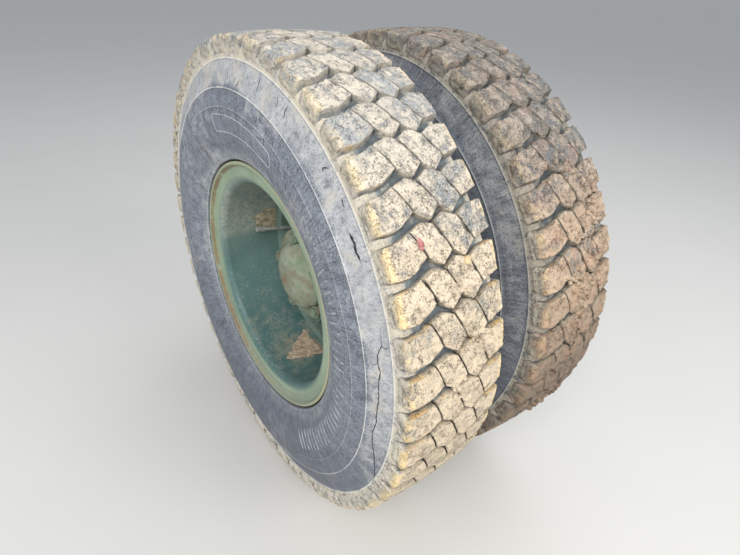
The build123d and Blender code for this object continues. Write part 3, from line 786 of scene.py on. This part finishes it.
def body_material(name, mid_y, dust, mud, tone=1.0):
    """Sidewalls and groove floors."""
    g = Mat(name)
    r, a, y = g.polar()
    x, _, z = g.sep(g.P)
    tread = g.attr("tread")
    streak = g.noise(g.comb(g.mul(a, 2.2), g.mul(r, 60.0), y), 3.0, 6.0, 0.65)
    radial = g.noise(g.comb(g.mul(a, 46.0), g.mul(r, 8.0), y), 2.2, 5.0, 0.62)
    thin = g.noise(g.comb(g.mul(a, 150.0), g.mul(r, 13.0), y), 2.0, 3.0, 0.6)
    big = g.noise(g.P, 7.0, 4.0, 0.6)
    mid = g.noise(g.P, 42.0, 6.0, 0.65)
    fine = g.noise(g.P, 280.0, 5.0, 0.7)
    base = g.mix(g.step(mid, 0.33, 0.68), srgb(96, 102, 114), srgb(130, 137, 149))
    base = g.mix(g.step(fine, 0.42, 0.66, 0.0, 0.7), base, srgb(158, 164, 172))
    base = g.mix(g.mul(g.step(radial, 0.53, 0.66), 0.55), base, srgb(76, 80, 90))
    base = g.mix(g.mul(g.step(thin, 0.575, 0.65), 0.72), base, srgb(54, 56, 64))
    base = g.mix(g.mul(g.step(radial, 0.44, 0.33), 0.26), base, srgb(166, 170, 175))
    base = g.mix(g.mul(g.step(streak, 0.54, 0.72), 0.16), base, srgb(176, 180, 184))
    base = g.mix(g.mul(g.step(fine, 0.46, 0.36), 0.6), base, srgb(66, 69, 78))
    # dust: more on the upper sidewall and about the rim, least on the lower half
    near_top = g.step(r, 0.437, 0.462)
    near_rim = g.step(r, 0.345, 0.300)
    upper = g.step(z, -0.22, 0.06)
    amount = g.add(g.mul(near_top, g.add(0.10, g.mul(upper, 0.48))), g.mul(near_rim, 0.16), g.mul(g.step(big, 0.40, 0.66), 0.34), dust)
    ragged = g.step(g.add(amount, g.mul(g.add(mid, fine), 0.55)), 0.72, 1.16)
    dustc = g.mix(g.step(mid, 0.3, 0.7), srgb(162, 166, 172), srgb(200, 201, 201))
    dustc = g.mix(g.mul(g.step(fine, 0.48, 0.38), 0.6), dustc, srgb(118, 122, 130))
    dustc = g.mix(g.mul(g.step(g.noise(g.P, 16.0, 5.0, 0.6), 0.52, 0.64), 0.5), dustc, srgb(204, 196, 180))
    base = g.mix(g.mul(ragged, 0.82), base, dustc)
    scuff = g.mul(near_top, g.step(g.noise(g.comb(g.mul(a, 20.0), g.mul(r, 22.0), y), 3.0, 5.0, 0.7), 0.53, 0.64))
    base = g.mix(g.mul(scuff, 0.55), base, srgb(116, 119, 126))
    # thin tan runs below the outermost ridge, and mud above it
    run = g.mul(g.step(g.noise(g.comb(g.mul(a, 70.0), g.mul(r, 4.0), y), 2.0, 3.0, 0.6), 0.56, 0.66), g.step(r, 0.455, 0.492), upper)
    base = g.mix(g.mul(run, 0.40), base, srgb(208, 202, 188))
    crust = g.mul(g.step(r, 0.494, 0.500), 0.9)
    base = g.mix(g.mul(crust, g.step(g.add(mid, fine), 0.80, 1.05)), base, srgb(212, 202, 182))
    # raised lines keep pale dust
    lines = None
    for rr, w, k in ((0.4455, 0.0011, 1.0), (0.4978, 0.0012, 1.0), (0.4099, 0.0008, 0.42), (0.3025, 0.0012, 0.4)):
        d = g.math("ABSOLUTE", g.math("SUBTRACT", r, rr))
        one = g.mul(g.step(d, w * 1.5, w * 0.5), k)
        lines = one if lines is None else g.math("MAXIMUM", lines, one)
    base = g.mix(g.mul(lines, g.step(g.add(mid, g.mul(big, 0.5)), 0.50, 0.85, 0.45, 1.0)), base, srgb(222, 222, 218))
    # short nicks and a few fine cracks
    vein = g.math("ABSOLUTE", g.math("SUBTRACT", g.noise(g.comb(g.mul(a, 7.0), g.mul(r, 7.0), g.mul(y, 0.1)), 2.6, 5.0, 0.6), 0.5))
    crack = g.mul(g.step(vein, 0.0060, 0.0015), g.step(g.noise(g.P, 9.0, 2.0), 0.55, 0.62), g.step(r, 0.34, 0.37))
    cv2 = g.comb(g.mul(a, 16.0), g.mul(r, 9.0), 0.0)
    nick = g.step(g.voronoi(g.vmath("ADD", cv2, g.vmath("SCALE", g.comb(mid, mid, mid), scale=0.2)), 4.0), 0.080, 0.03)
    nick = g.mul(nick, g.step(g.noise(g.P, 13.0, 2.0), 0.52, 0.6), g.step(r, 0.33, 0.36))
    base = g.mix(g.math("MAXIMUM", g.mul(crack, 0.75), g.mul(nick, 0.7)), base, srgb(44, 46, 52))
    # pale soft band against the rim, and painted shade in the gap at its lip
    band = g.mul(g.step(r, 0.330, 0.312), g.step(r, 0.3005, 0.3035))
    base = g.mix(g.mul(band, g.step(g.add(mid, fine), 0.80, 1.15, 0.12, 0.50)), base, srgb(160, 166, 168))
    base = g.mix(g.step(r, 0.3005, 0.2975), base, srgb(70, 68, 62))
    # painted shade: the lower half of the sidewall darker and bluer
    low = g.mul(g.step(z, 0.02, -0.36), g.step(r, 0.500, 0.480), 0.46)
    base = g.mix(low, base, srgb(70, 76, 88))
    # groove floors: blue-grey rubber under a thin film of mud
    floor = g.mix(g.step(mid, 0.35, 0.65), srgb(86, 95, 100), srgb(124, 133, 136))
    across = g.math("ABSOLUTE", g.math("SUBTRACT", y, mid_y))
    mouth = g.step(g.add(across, g.mul(g.add(mid, -0.5), 0.06)), 0.078, 0.100)
    film = g.math("MAXIMUM", g.mul(g.step(g.attr("fill"), 0.35, 0.8), 0.7), g.step(g.add(mid, g.mul(big, 0.5)), 0.84, 0.98))
    film = g.math("MAXIMUM", film, mouth)
    floor = g.mix(g.mul(film, 0.8), floor, g.mix(g.step(fine, 0.4, 0.6), mud, srgb(212, 206, 192)))
    # painted shade: the groove floors darker across the middle of the tread
    floor = g.mix(g.mul(g.step(across, 0.080, 0.050), 0.55), floor, srgb(58, 62, 66))
    col = g.mix(tread, base, floor)
    # painted shade: a tone below 1 darkens the whole copy, used for the inner tyre
    if tone != 1.0:
        col = g.mix(1.0, col, (tone, tone, tone, 1.0), "MULTIPLY")
    h = g.add(g.mul(fine, 0.5), g.mul(mid, 0.6), g.mul(streak, 0.08), g.mul(radial, 0.22), g.mul(ragged, 0.25), g.mul(crack, -2.0), g.mul(nick, -1.2))
    rough = g.step(g.add(ragged, g.mul(tread, 0.6)), 0.0, 1.0, 0.58, 0.92)
    return g.done(col, rough, h, 0.55, 0.0016, spec=0.4)


def paint_material(name, light, dark, rust=0.25, dust=0.35, lip=None, scale=1.0, deep=False):
    """Old brush-painted steel: faded green, chips, rust and dust."""
    g = Mat(name)
    r, a, y = g.polar()
    x, _, z = g.sep(g.P)
    nx, ny, nz = g.sep(g.NRM)
    big = g.noise(g.P, 6.0 * scale, 3.0)
    mid = g.noise(g.P, 34.0 * scale, 6.0, 0.62)
    fine = g.noise(g.P, 240.0 * scale, 5.0, 0.7)
    smear = g.noise(g.comb(g.mul(a, 3.0), g.mul(r, 9.0), g.mul(y, 22.0)), 4.0, 5.0, 0.6)
    col = g.mix(g.step(g.add(g.mul(mid, 0.35), g.mul(big, 0.8)), 0.42, 0.74), light, dark)
    col = g.mix(g.mul(g.step(smear, 0.5, 0.75), 0.35), col, light)
    # painted shade: inside the dish the barrel is painted darker and bluer than the lip
    if deep:  # the barrel of the rim is darker and bluer than its lip
        teal = g.mix(g.step(big, 0.35, 0.65), srgb(72, 103, 102), srgb(92, 123, 120))
        col = g.mix(g.mul(g.step(r, 0.266, 0.247), 0.95), col, teal)
        # painted light on the upper half of the barrel, painted shade deeper on its lower half
        col = g.mix(g.mul(g.step(z, -0.10, 0.10), g.step(r, 0.262, 0.250), 0.8), col, srgb(118, 138, 130))
        col = g.mix(g.mul(g.step(z, -0.02, -0.20), g.step(r, 0.262, 0.250), 0.55), col, srgb(60, 96, 98))
        # brown dust lies in the upper barrel
        lat = g.mul(g.step(a, 1.85, 2.35), g.step(a, 3.14, 2.95), g.step(r, 0.262, 0.250))
        soil = g.mul(lat, g.step(g.add(mid, g.mul(smear, 0.5)), 0.46, 0.84))
        col = g.mix(g.mul(soil, 0.80), col, g.mix(g.step(fine, 0.4, 0.6), srgb(132, 138, 128), srgb(172, 177, 166)))
        col = g.mix(g.mul(g.step(z, 0.0, -0.26), g.step(r, 0.262, 0.275), 0.5), col, srgb(126, 130, 120))
    if deep:
        near = g.mul(g.step(a, -2.02, -1.72), g.step(a, -1.30, -1.50), g.step(y, -0.625, -0.56), g.step(y, -0.484, -0.492), g.step(r, 0.262, 0.250))
        col = g.mix(g.mul(near, g.step(g.add(mid, g.mul(smear, 0.4)), 0.52, 0.84), 0.55), col, srgb(150, 134, 112))
        streaky = g.noise(g.comb(g.mul(a, 6.0), g.mul(r, 4.0), g.mul(y, 40.0)), 3.0, 5.0, 0.7)
        col = g.mix(g.mul(g.step(streaky, 0.57, 0.70), g.step(r, 0.262, 0.250), 0.32), col, srgb(172, 186, 178))
    if scale > 1.0:  # castings: patches of olive, brown and bare rust
        blot = g.noise(g.P, 26.0, 4.0, 0.6)
        col = g.mix(g.mul(g.step(blot, 0.50, 0.64), 0.60), col, srgb(120, 112, 86))
        col = g.mix(g.mul(g.step(blot, 0.47, 0.34), 0.6), col, srgb(112, 138, 104))
        col = g.mix(g.mul(g.step(x, -0.04, -0.12), 0.35), col, srgb(112, 104, 78))
    # fine pale specks
    dots = g.mul(g.step(g.voronoi(g.P, 170.0 * scale), 0.17, 0.07), g.step(mid, 0.45, 0.58))
    col = g.mix(g.mul(dots, 0.62), col, srgb(204, 210, 202))
    veil = g.step(g.add(g.mul(fine, 0.7), g.mul(mid, 0.7), g.mul(nz, 0.16)), 0.78, 1.02)
    col = g.mix(g.mul(veil, dust), col, srgb(168, 162, 142))
    scratch = g.step(g.voronoi(g.comb(g.mul(a, 9.0), g.mul(r, 30.0), g.mul(y, 30.0)), 2.0, "DISTANCE_TO_EDGE"), 0.012, 0.0)
    col = g.mix(g.mul(scratch, g.step(big, 0.52, 0.62), 0.45), col, srgb(196, 200, 190))
    rusty = g.step(g.add(g.mul(mid, 0.7), g.mul(fine, 0.4), g.mul(big, 0.35)), 0.98 - rust, 1.06 - rust)
    rustc = g.mix(g.step(fine, 0.35, 0.65), srgb(104, 82, 62), srgb(158, 120, 84))
    if lip:  # tan edge of the lip, and rust in the gutter behind it
        ridge = g.mul(g.step(r, lip[1] - 0.0012, lip[1] + 0.0015), g.step(g.add(mid, g.mul(big, 0.8)), 0.66, 0.98, 0.15, 0.80))
        col = g.mix(ridge, col, srgb(172, 168, 136))
        gutter = g.mul(g.step(r, lip[0] - 0.0055, lip[0] - 0.0020), g.step(r, lip[1] - 0.0010, lip[1] - 0.0035), 0.85)
        side = g.step(x, 0.05, -0.20, 0.12, 1.0)
        rusty = g.math("MAXIMUM", rusty, g.mul(gutter, side, g.step(g.add(mid, g.mul(big, 0.8)), 0.66, 0.92)))
    col = g.mix(g.mul(rusty, 0.85), col, rustc)
    rough = g.step(g.add(rusty, g.mul(veil, 0.6)), 0.0, 1.0, 0.48, 0.9)
    h = g.add(g.mul(fine, 0.35), g.mul(mid, 0.3), g.mul(rusty, 0.5), g.mul(smear, 0.3))
    return g.done(col, rough, h, 0.4, 0.0012, spec=0.45)


def metal_material(name, a_col, b_col, rust_col, rust=0.5, scale=1.0, metallic=0.6):
    g = Mat(name)
    big = g.noise(g.P, 14.0 * scale, 4.0)
    mid = g.noise(g.P, 70.0 * scale, 6.0, 0.65)
    fine = g.noise(g.P, 420.0 * scale, 4.0, 0.7)
    col = g.mix(g.step(mid, 0.35, 0.65), a_col, b_col)
    rusty = g.step(g.add(g.mul(mid, 0.6), g.mul(fine, 0.4), g.mul(big, 0.4)), 0.92 - 0.4 * rust, 1.02 - 0.4 * rust)
    col = g.mix(rusty, col, g.mix(g.step(fine, 0.3, 0.7), rust_col, srgb(104, 66, 44)))
    col = g.mix(g.mul(g.step(big, 0.5, 0.7), g.step(fine, 0.45, 0.7), 0.5), col, srgb(170, 158, 134))
    met = g.mul(g.inv(rusty), metallic)
    rough = g.step(rusty, 0.0, 1.0, 0.45, 0.92)
    h = g.add(g.mul(fine, 0.4), g.mul(mid, 0.6), g.mul(rusty, 0.4))
    return g.done(col, rough, h, 0.5, 0.0012, metallic=met)


def mud_material(name, a_col, b_col, c_col):
    g = Mat(name)
    mid = g.noise(g.P, 60.0, 6.0, 0.65)
    fine = g.noise(g.P, 320.0, 5.0, 0.7)
    col = g.mix(g.step(mid, 0.35, 0.65), a_col, b_col)
    col = g.mix(g.step(fine, 0.5, 0.75, 0.0, 0.7), col, c_col)
    crack = g.step(g.voronoi(g.vmath("ADD", g.P, g.vmath("SCALE", g.comb(mid, fine, mid), scale=0.006)), 70.0, "DISTANCE_TO_EDGE"), 0.03, 0.0)
    col = g.mix(g.mul(crack, 0.5), col, srgb(88, 70, 54))
    h = g.add(mid, g.mul(fine, 0.6), g.mul(crack, -0.6))
    return g.done(col, 0.95, h, 0.8, 0.002, spec=0.2)


def plain_material(name, a_col, b_col, c_col):
    g = Mat(name)
    mid = g.noise(g.P, 55.0, 5.0, 0.65)
    fine = g.noise(g.P, 300.0, 5.0, 0.7)
    col = g.mix(g.step(mid, 0.36, 0.64), a_col, b_col)
    col = g.mix(g.step(fine, 0.5, 0.68, 0.0, 0.7), col, c_col)
    return g.done(col, 0.8, g.add(mid, g.mul(fine, 0.6)), 0.5, 0.001, spec=0.3)


def plain_stage(name, col, rough=0.9):
    g = Mat(name)
    n = g.noise(g.P, 3.0, 2.0)
    c = g.mix(g.step(n, 0.3, 0.7), col, tuple(0.985 * v for v in col[:3]) + (1.0,))
    return g.done(c, rough)


def set_material(ob, mat):
    ob.data.materials.clear()
    ob.data.materials.append(mat)


# ------------------------------------------------------------------ camera, light and floor
def camera():
    az, el, roll, f = -0.8930, -0.5558, 0.0609, 500.65
    C = np.array([0.9226, -0.4142 - FACE, 0.6563])
    fw = np.array([cos(el) * sin(az), cos(el) * cos(az), sin(el)])
    rt = np.array([cos(az), -sin(az), 0.0])
    up = np.cross(rt, fw)
    r2 = cos(roll) * rt + sin(roll) * up
    u2 = -sin(roll) * rt + cos(roll) * up
    cam = bpy.data.cameras.new("camera")
    cam.sensor_width = 36.0
    cam.lens = f / 740.0 * 36.0
    cam.clip_start, cam.clip_end = 0.02, 900.0
    ob = bpy.data.objects.new("camera", cam)
    M = Matrix.Identity(4)
    for i in range(3):
        M[i][0], M[i][1], M[i][2], M[i][3] = r2[i], u2[i], -fw[i], C[i]
    ob.matrix_world = M
    bpy.context.scene.collection.objects.link(ob)
    bpy.context.scene.camera = ob


def area(name, place, target, size, power, color):
    li = bpy.data.lights.new(name, "AREA")
    li.shape = "RECTANGLE"
    li.size, li.size_y = size
    li.energy = power
    li.color = color
    ob = bpy.data.objects.new(name, li)
    p, q = np.array(place, float), np.array(target, float)
    d = q - p
    from mathutils import Vector
    ob.location = p
    ob.rotation_euler = Vector(d).to_track_quat("-Z", "Y").to_euler()
    bpy.context.scene.collection.objects.link(ob)


def stage():
    n = 2
    c = 400.0
    floor = make_mesh("floor", [(-c, -c, FLOOR_Z), (c, -c, FLOOR_Z), (c, c, FLOOR_Z), (-c, c, FLOOR_Z)],
                      [np.array([[0, 1, 2, 3]])], shade=False)
    set_material(floor, plain_stage("stage_floor", srgb(204, 203, 200)))
    w = bpy.data.worlds.new("studio")
    w.use_nodes = True
    bg = w.node_tree.nodes["Background"]
    bg.inputs[0].default_value = (0.88, 0.93, 1.0, 1.0)
    bg.inputs[1].default_value = 0.60
    bpy.context.scene.world = w
    area("key", (2.6, -3.0, 3.2), (0.0, -0.4, 0.0), (2.6, 2.6), 190.0, (1.0, 0.97, 0.93))
    area("side", (3.6, 0.4, 2.0), (0.0, -0.3, 0.0), (1.8, 1.8), 75.0, (1.0, 0.97, 0.92))
    area("top", (-0.4, 1.2, 4.0), (0.0, -0.4, 0.0), (3.0, 3.0), 50.0, (0.96, 0.98, 1.0))


# ------------------------------------------------------------------ build
camera()
stage()
bpy.context.scene.view_settings.view_transform = "Standard"

TAN_A, TAN_B, TAN_C = srgb(218, 201, 175), srgb(201, 185, 161), srgb(231, 220, 202)
PINK_A, PINK_B, PINK_C = srgb(210, 184, 158), srgb(188, 162, 138), srgb(222, 202, 178)

tyres = {
    "outer": dict(mid=OUTER_MID, phase=33.7, clods=0.25, seed=3, node="outer_tyre"),
    "inner": dict(mid=INNER_MID, phase=35.4, clods=1.0, seed=71, node="inner_tyre"),
}
# the inner tread is a copy darkened by tone 0.96, as painted shade on the inner tyre
mud_mats = {"outer": tread_material("tread_mud_outer", TAN_A, TAN_B, TAN_C, bare=-0.05),
            "inner": tread_material("tread_mud_inner", PINK_A, PINK_B, PINK_C, bare=-0.06, red=0.3, tone=0.96)}
# the inner sidewall is painted shade between the tyres: less dust and its colour multiplied by 0.61
body_mats = {"outer": body_material("sidewall_outer", OUTER_MID, 0.0, srgb(190, 176, 150)),
             "inner": body_material("sidewall_inner", INNER_MID, -0.34, srgb(178, 158, 136), tone=0.61)}
for key, T in tyres.items():
    body = tyre_body(key + "_tyre_body", T["mid"], T["clods"], T["seed"])
    set_material(body, body_mats[key])
    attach(body, "wheels")
    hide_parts(T["node"])
    blocks = tread_blocks(key + "_tread_blocks", T["mid"], T["phase"], T["clods"], T["seed"] + 100)
    set_material(blocks, mud_mats[key])
    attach(blocks, "wheels")


def add(ob, mat):
    set_material(ob, mat)
    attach(ob, "wheels")


# lines, cracks and ribs of the outer sidewall
CRACKS = [
    ([(492.5, 22.1), (483.9, 21.3), (482.6, 19.8), (482.6, 18.0), (471.8, 15.7), (470.7, 13.9), (473.8, 11.7),
      (468.9, 8.3), (469.4, 5.7), (467.5, 2.9), (465.9, -0.1), (468.2, -1.4), (463.4, -5.2), (466.5, -9.2),
      (477.3, -13.3), (485.9, -16.8), (497.8, -22.1), (503.6, -26.7)], 2.0),
    ([(476.0, 40.2), (478.5, 37.8), (476.5, 36.2), (479.0, 34.4)], 4.2),
    ([(327, 221.6), (330, 225), (354.3, 225.9), (344, 227)], 1.6),
    ([(492, 80.6), (482, 80.5), (472, 80.3), (464, 80.7)], 1.8),
    ([(499.5, 69.9), (494, 69.3)], 2.2),
    ([(488, 68.8), (480, 69.0), (472, 68.7), (465, 68.5)], 2.0),
    ([(486, 72.9), (480, 72.2), (472, 71.8)], 1.5),
    ([(469, 88.8), (459, 89.5), (454, 90.3)], 1.7),
    ([(488, 52.6), (480, 53.4), (476, 52.9)], 2.2),
    ([(484, 44.8), (487, 46.4)], 2.4),
    ([(474, 96.0), (466, 95.4), (459, 96.1)], 1.4),
    ([(438, 84.6), (431, 84.9), (425, 84.5)], 1.5),
    ([(433, 77.8), (424, 77.5), (417, 77.9)], 1.5),
    ([(384, 112.4), (372, 112.0), (362, 112.6)], 1.4),
    ([(352, 128.0), (340, 127.2), (331, 128.2), (322, 127.8)], 1.6),
    ([(420, 60.6), (411, 60.9)], 1.6),
    ([(404, 64.2), (396, 64.0), (389, 64.5)], 1.4),
]
TWIGS = [([(470.7, 13.9), (462, 13.0), (455, 13.8)], 1.0), ([(468.9, 8.3), (459, 7.4), (450, 8.2), (443, 7.5)], 1.0),
         ([(465.9, -0.1), (455, 0.6), (449, -0.4)], 1.0), ([(482.6, 18.0), (489, 17.2), (493, 17.6)], 1.0),
         ([(463.4, -5.2), (452, -6.0), (446, -5.4)], 0.9), ([(477.3, -13.3), (470, -15.2), (462, -15.0)], 0.9)]
cracks = wall_lines("sidewall_cracks", [crack_path(c, w, 40 + k) for k, (c, w) in enumerate(CRACKS)]
                    + [crack_path(c, w, 80 + k) for k, (c, w) in enumerate(TWIGS)])
add(cracks, plain_material("crack_dark", srgb(38, 38, 42), srgb(62, 62, 66), srgb(96, 96, 98)))


def arc(r0, a0, r1, a1, n=24):
    return [(r0 + (r1 - r0) * k / n, a0 + (a1 - a0) * k / n) for k in range(n + 1)]


panel = arc(395.2, 106.4, 392.6, 70.4) + [(391.2, 69.6), (388.0, 69.0), (375.6, 68.3), (362.0, 69.3), (360.2, 70.4)] \
    + arc(360.0, 70.8, 360.6, 106.2) + [(361.4, 106.8), (394.0, 106.9)]
ribs = []
for k in range(37):
    a0 = -54.0 + k * 2.85
    ribs.append(([(341.0, a0 - 0.7), (352.0, a0 - 0.35), (376.0, a0 + 0.35), (388.0, a0 + 0.7)],
                 [2.6, 4.2, 4.2, 2.6], 1.0, 1.6, False))
line_mat = plain_material("raised_line", srgb(176, 181, 186), srgb(206, 208, 206), srgb(144, 149, 157))
add(wall_lines("sidewall_panel_outline", [(panel, 1.6, 0.55, 1.4, True)]), line_mat)
add(wall_lines("sidewall_ribs", ribs), plain_material("rib_rubber", srgb(120, 125, 134), srgb(172, 174, 176), srgb(190, 190, 188)))

add(crumbs("inner_tread_clods", INNER_MID, 30, 17), mud_mats["inner"])
add(crumbs("outer_tread_clods", OUTER_MID, 4, 29), mud_mats["outer"])

# mud in the dish, and stones caught in the tread
dish_mud = mud_material("dish_mud", srgb(194, 184, 158), srgb(134, 123, 100), srgb(222, 213, 190))
red_mud = mud_material("dish_mud_red", srgb(192, 173, 150), srgb(148, 129, 110), srgb(216, 202, 183))
add(wall_mud("dish_mud_upper", [(0.170, 160.5), (0.170, 174.5), (0.150, 177.0), (0.112, 172.0), (0.104, 166.0), (0.128, 160.5)],
             1.5, 11, 9.0), dish_mud)
add(wall_mud("dish_mud_lower", [(0.160, 252.5), (0.166, 279.0), (0.120, 276.5), (0.058, 270.5), (0.110, 260.0)],
             2.0, 23, 8.0), red_mud)
add(pebble("stone_pink", 543.0, 34.3, 0.060 - FACE, (19.0, 11.0, 9.0), 5),
    mud_material("pink_stone", srgb(168, 108, 108), srgb(194, 144, 138), srgb(222, 190, 184)))
add(pebble("stone_tan", 545.0, 29.3, 0.143 - FACE, (15.0, 13.0, 10.0), 8),
    mud_material("tan_stone", srgb(206, 176, 134), srgb(226, 204, 166), srgb(240, 226, 196)))

# finishes of the pieces that keep their CAD shape
green_rim = paint_material("rim_paint", srgb(151, 168, 142), srgb(124, 146, 122), rust=0.08, lip=(0.286, 0.2905), deep=True)
# painted shade: the discs and backing plate get a darker, bluer green than the rim, for the shade inside the dish
green_disc = paint_material("disc_paint", srgb(116, 138, 124), srgb(88, 112, 104), rust=0.10)
hub_paint = paint_material("hub_paint", srgb(150, 156, 136), srgb(112, 122, 100), rust=0.20, dust=0.55, scale=1.6)
nut_paint = paint_material("nut_paint", srgb(128, 146, 126), srgb(96, 112, 94), rust=0.16, dust=0.4, scale=2.5)
iron = metal_material("rusty_iron", srgb(74, 62, 54), srgb(96, 78, 64), srgb(122, 74, 46), 0.9)
light_metal = metal_material("valve_metal", srgb(140, 144, 140), srgb(186, 188, 182), srgb(140, 112, 84), 0.25, 1.5, 0.3)
steel = metal_material("dull_steel", srgb(120, 118, 114), srgb(146, 144, 138), srgb(120, 80, 54), 0.4)
brass = metal_material("dull_brass", srgb(120, 100, 62), srgb(96, 84, 60), srgb(84, 92, 70), 0.3)
FINISH = {"outer_rim": green_rim, "inner_rim": green_rim, "outer_lock_ring": green_rim, "inner_lock_ring": green_rim,
          "outer_disc": green_disc, "inner_disc": green_disc, "hub": hub_paint, "axle_shaft": hub_paint,
          "axle_casing_end": hub_paint, "backing_plate": green_disc, "brake_drum": iron, "wheel_cylinder": iron,
          "wheel_studs": steel, "wheel_nuts": nut_paint, "cap_nuts": nut_paint, "drive_flange_nuts": nut_paint,
          "casing_bolts": nut_paint, "anchor_pins": nut_paint, "cam_adjusters": nut_paint, "spindle": steel,
          "wheel_bearings": steel, "brake_pipe": brass, "outer_valve_stem": light_metal, "inner_valve_stem": light_metal}
for name, mat in FINISH.items():
    set_material(nodes[name], mat)

# the shaft's inboard end with its splines: grooves cut into the plain journal
def groove_cutter(teeth=20):
    ring, quads = [], []
    for k in range(teeth):
        n0 = len(ring)
        for yy in (0.002, 0.064):
            for rr, half in ((21.6, 3.1), (26.0, 5.2)):
                for side in (-1, 1):
                    ring.append(tuple(map(float, polar(rr, 360.0 * k / teeth + side * half, yy))))
        for q in ((4, 6, 2, 0), (3, 7, 5, 1), (1, 5, 4, 0), (6, 7, 3, 2), (2, 3, 1, 0), (5, 7, 6, 4)):
            quads.append(tuple(n0 + j for j in q))
    me = bpy.data.meshes.new("grooves")
    me.from_pydata(ring, [], quads)
    return bpy.data.objects.new("grooves", me)


def splined_shaft(name, source):
    weld = bmesh.new()
    weld.from_mesh(source.data)
    weld.transform(source.matrix_world)
    bmesh.ops.remove_doubles(weld, verts=weld.verts, dist=1e-6)
    me = bpy.data.meshes.new("plain_shaft")
    weld.to_mesh(me)
    weld.free()
    plain, cutter = bpy.data.objects.new("plain_shaft", me), groove_cutter()
    for ob in (plain, cutter):
        bpy.context.scene.collection.objects.link(ob)
    cut = plain.modifiers.new("cut", "BOOLEAN")
    cut.operation, cut.solver, cut.object = "DIFFERENCE", "EXACT", cutter
    bpy.context.view_layer.update()
    done = bpy.data.meshes.new_from_object(plain.evaluated_get(bpy.context.evaluated_depsgraph_get()))
    out = bpy.data.meshes.new(name)
    out.from_pydata([v.co[:] for v in done.vertices], [], [p.vertices[:] for p in done.polygons])
    out.shade_smooth()
    out.set_sharp_from_angle(angle=radians(32.0))
    for ob in (plain, cutter):
        bpy.data.objects.remove(ob)
    bpy.data.meshes.remove(done)
    ob = bpy.data.objects.new(name, out)
    bpy.context.scene.collection.objects.link(ob)
    return ob


splined = splined_shaft("splined_shaft", nodes["axle_shaft"])
add(splined, hub_paint)
splined.data.materials.append(steel)
for p in splined.data.polygons:
    p.material_index = 1 if p.center[1] > -0.012 else 0
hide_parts("axle_shaft")
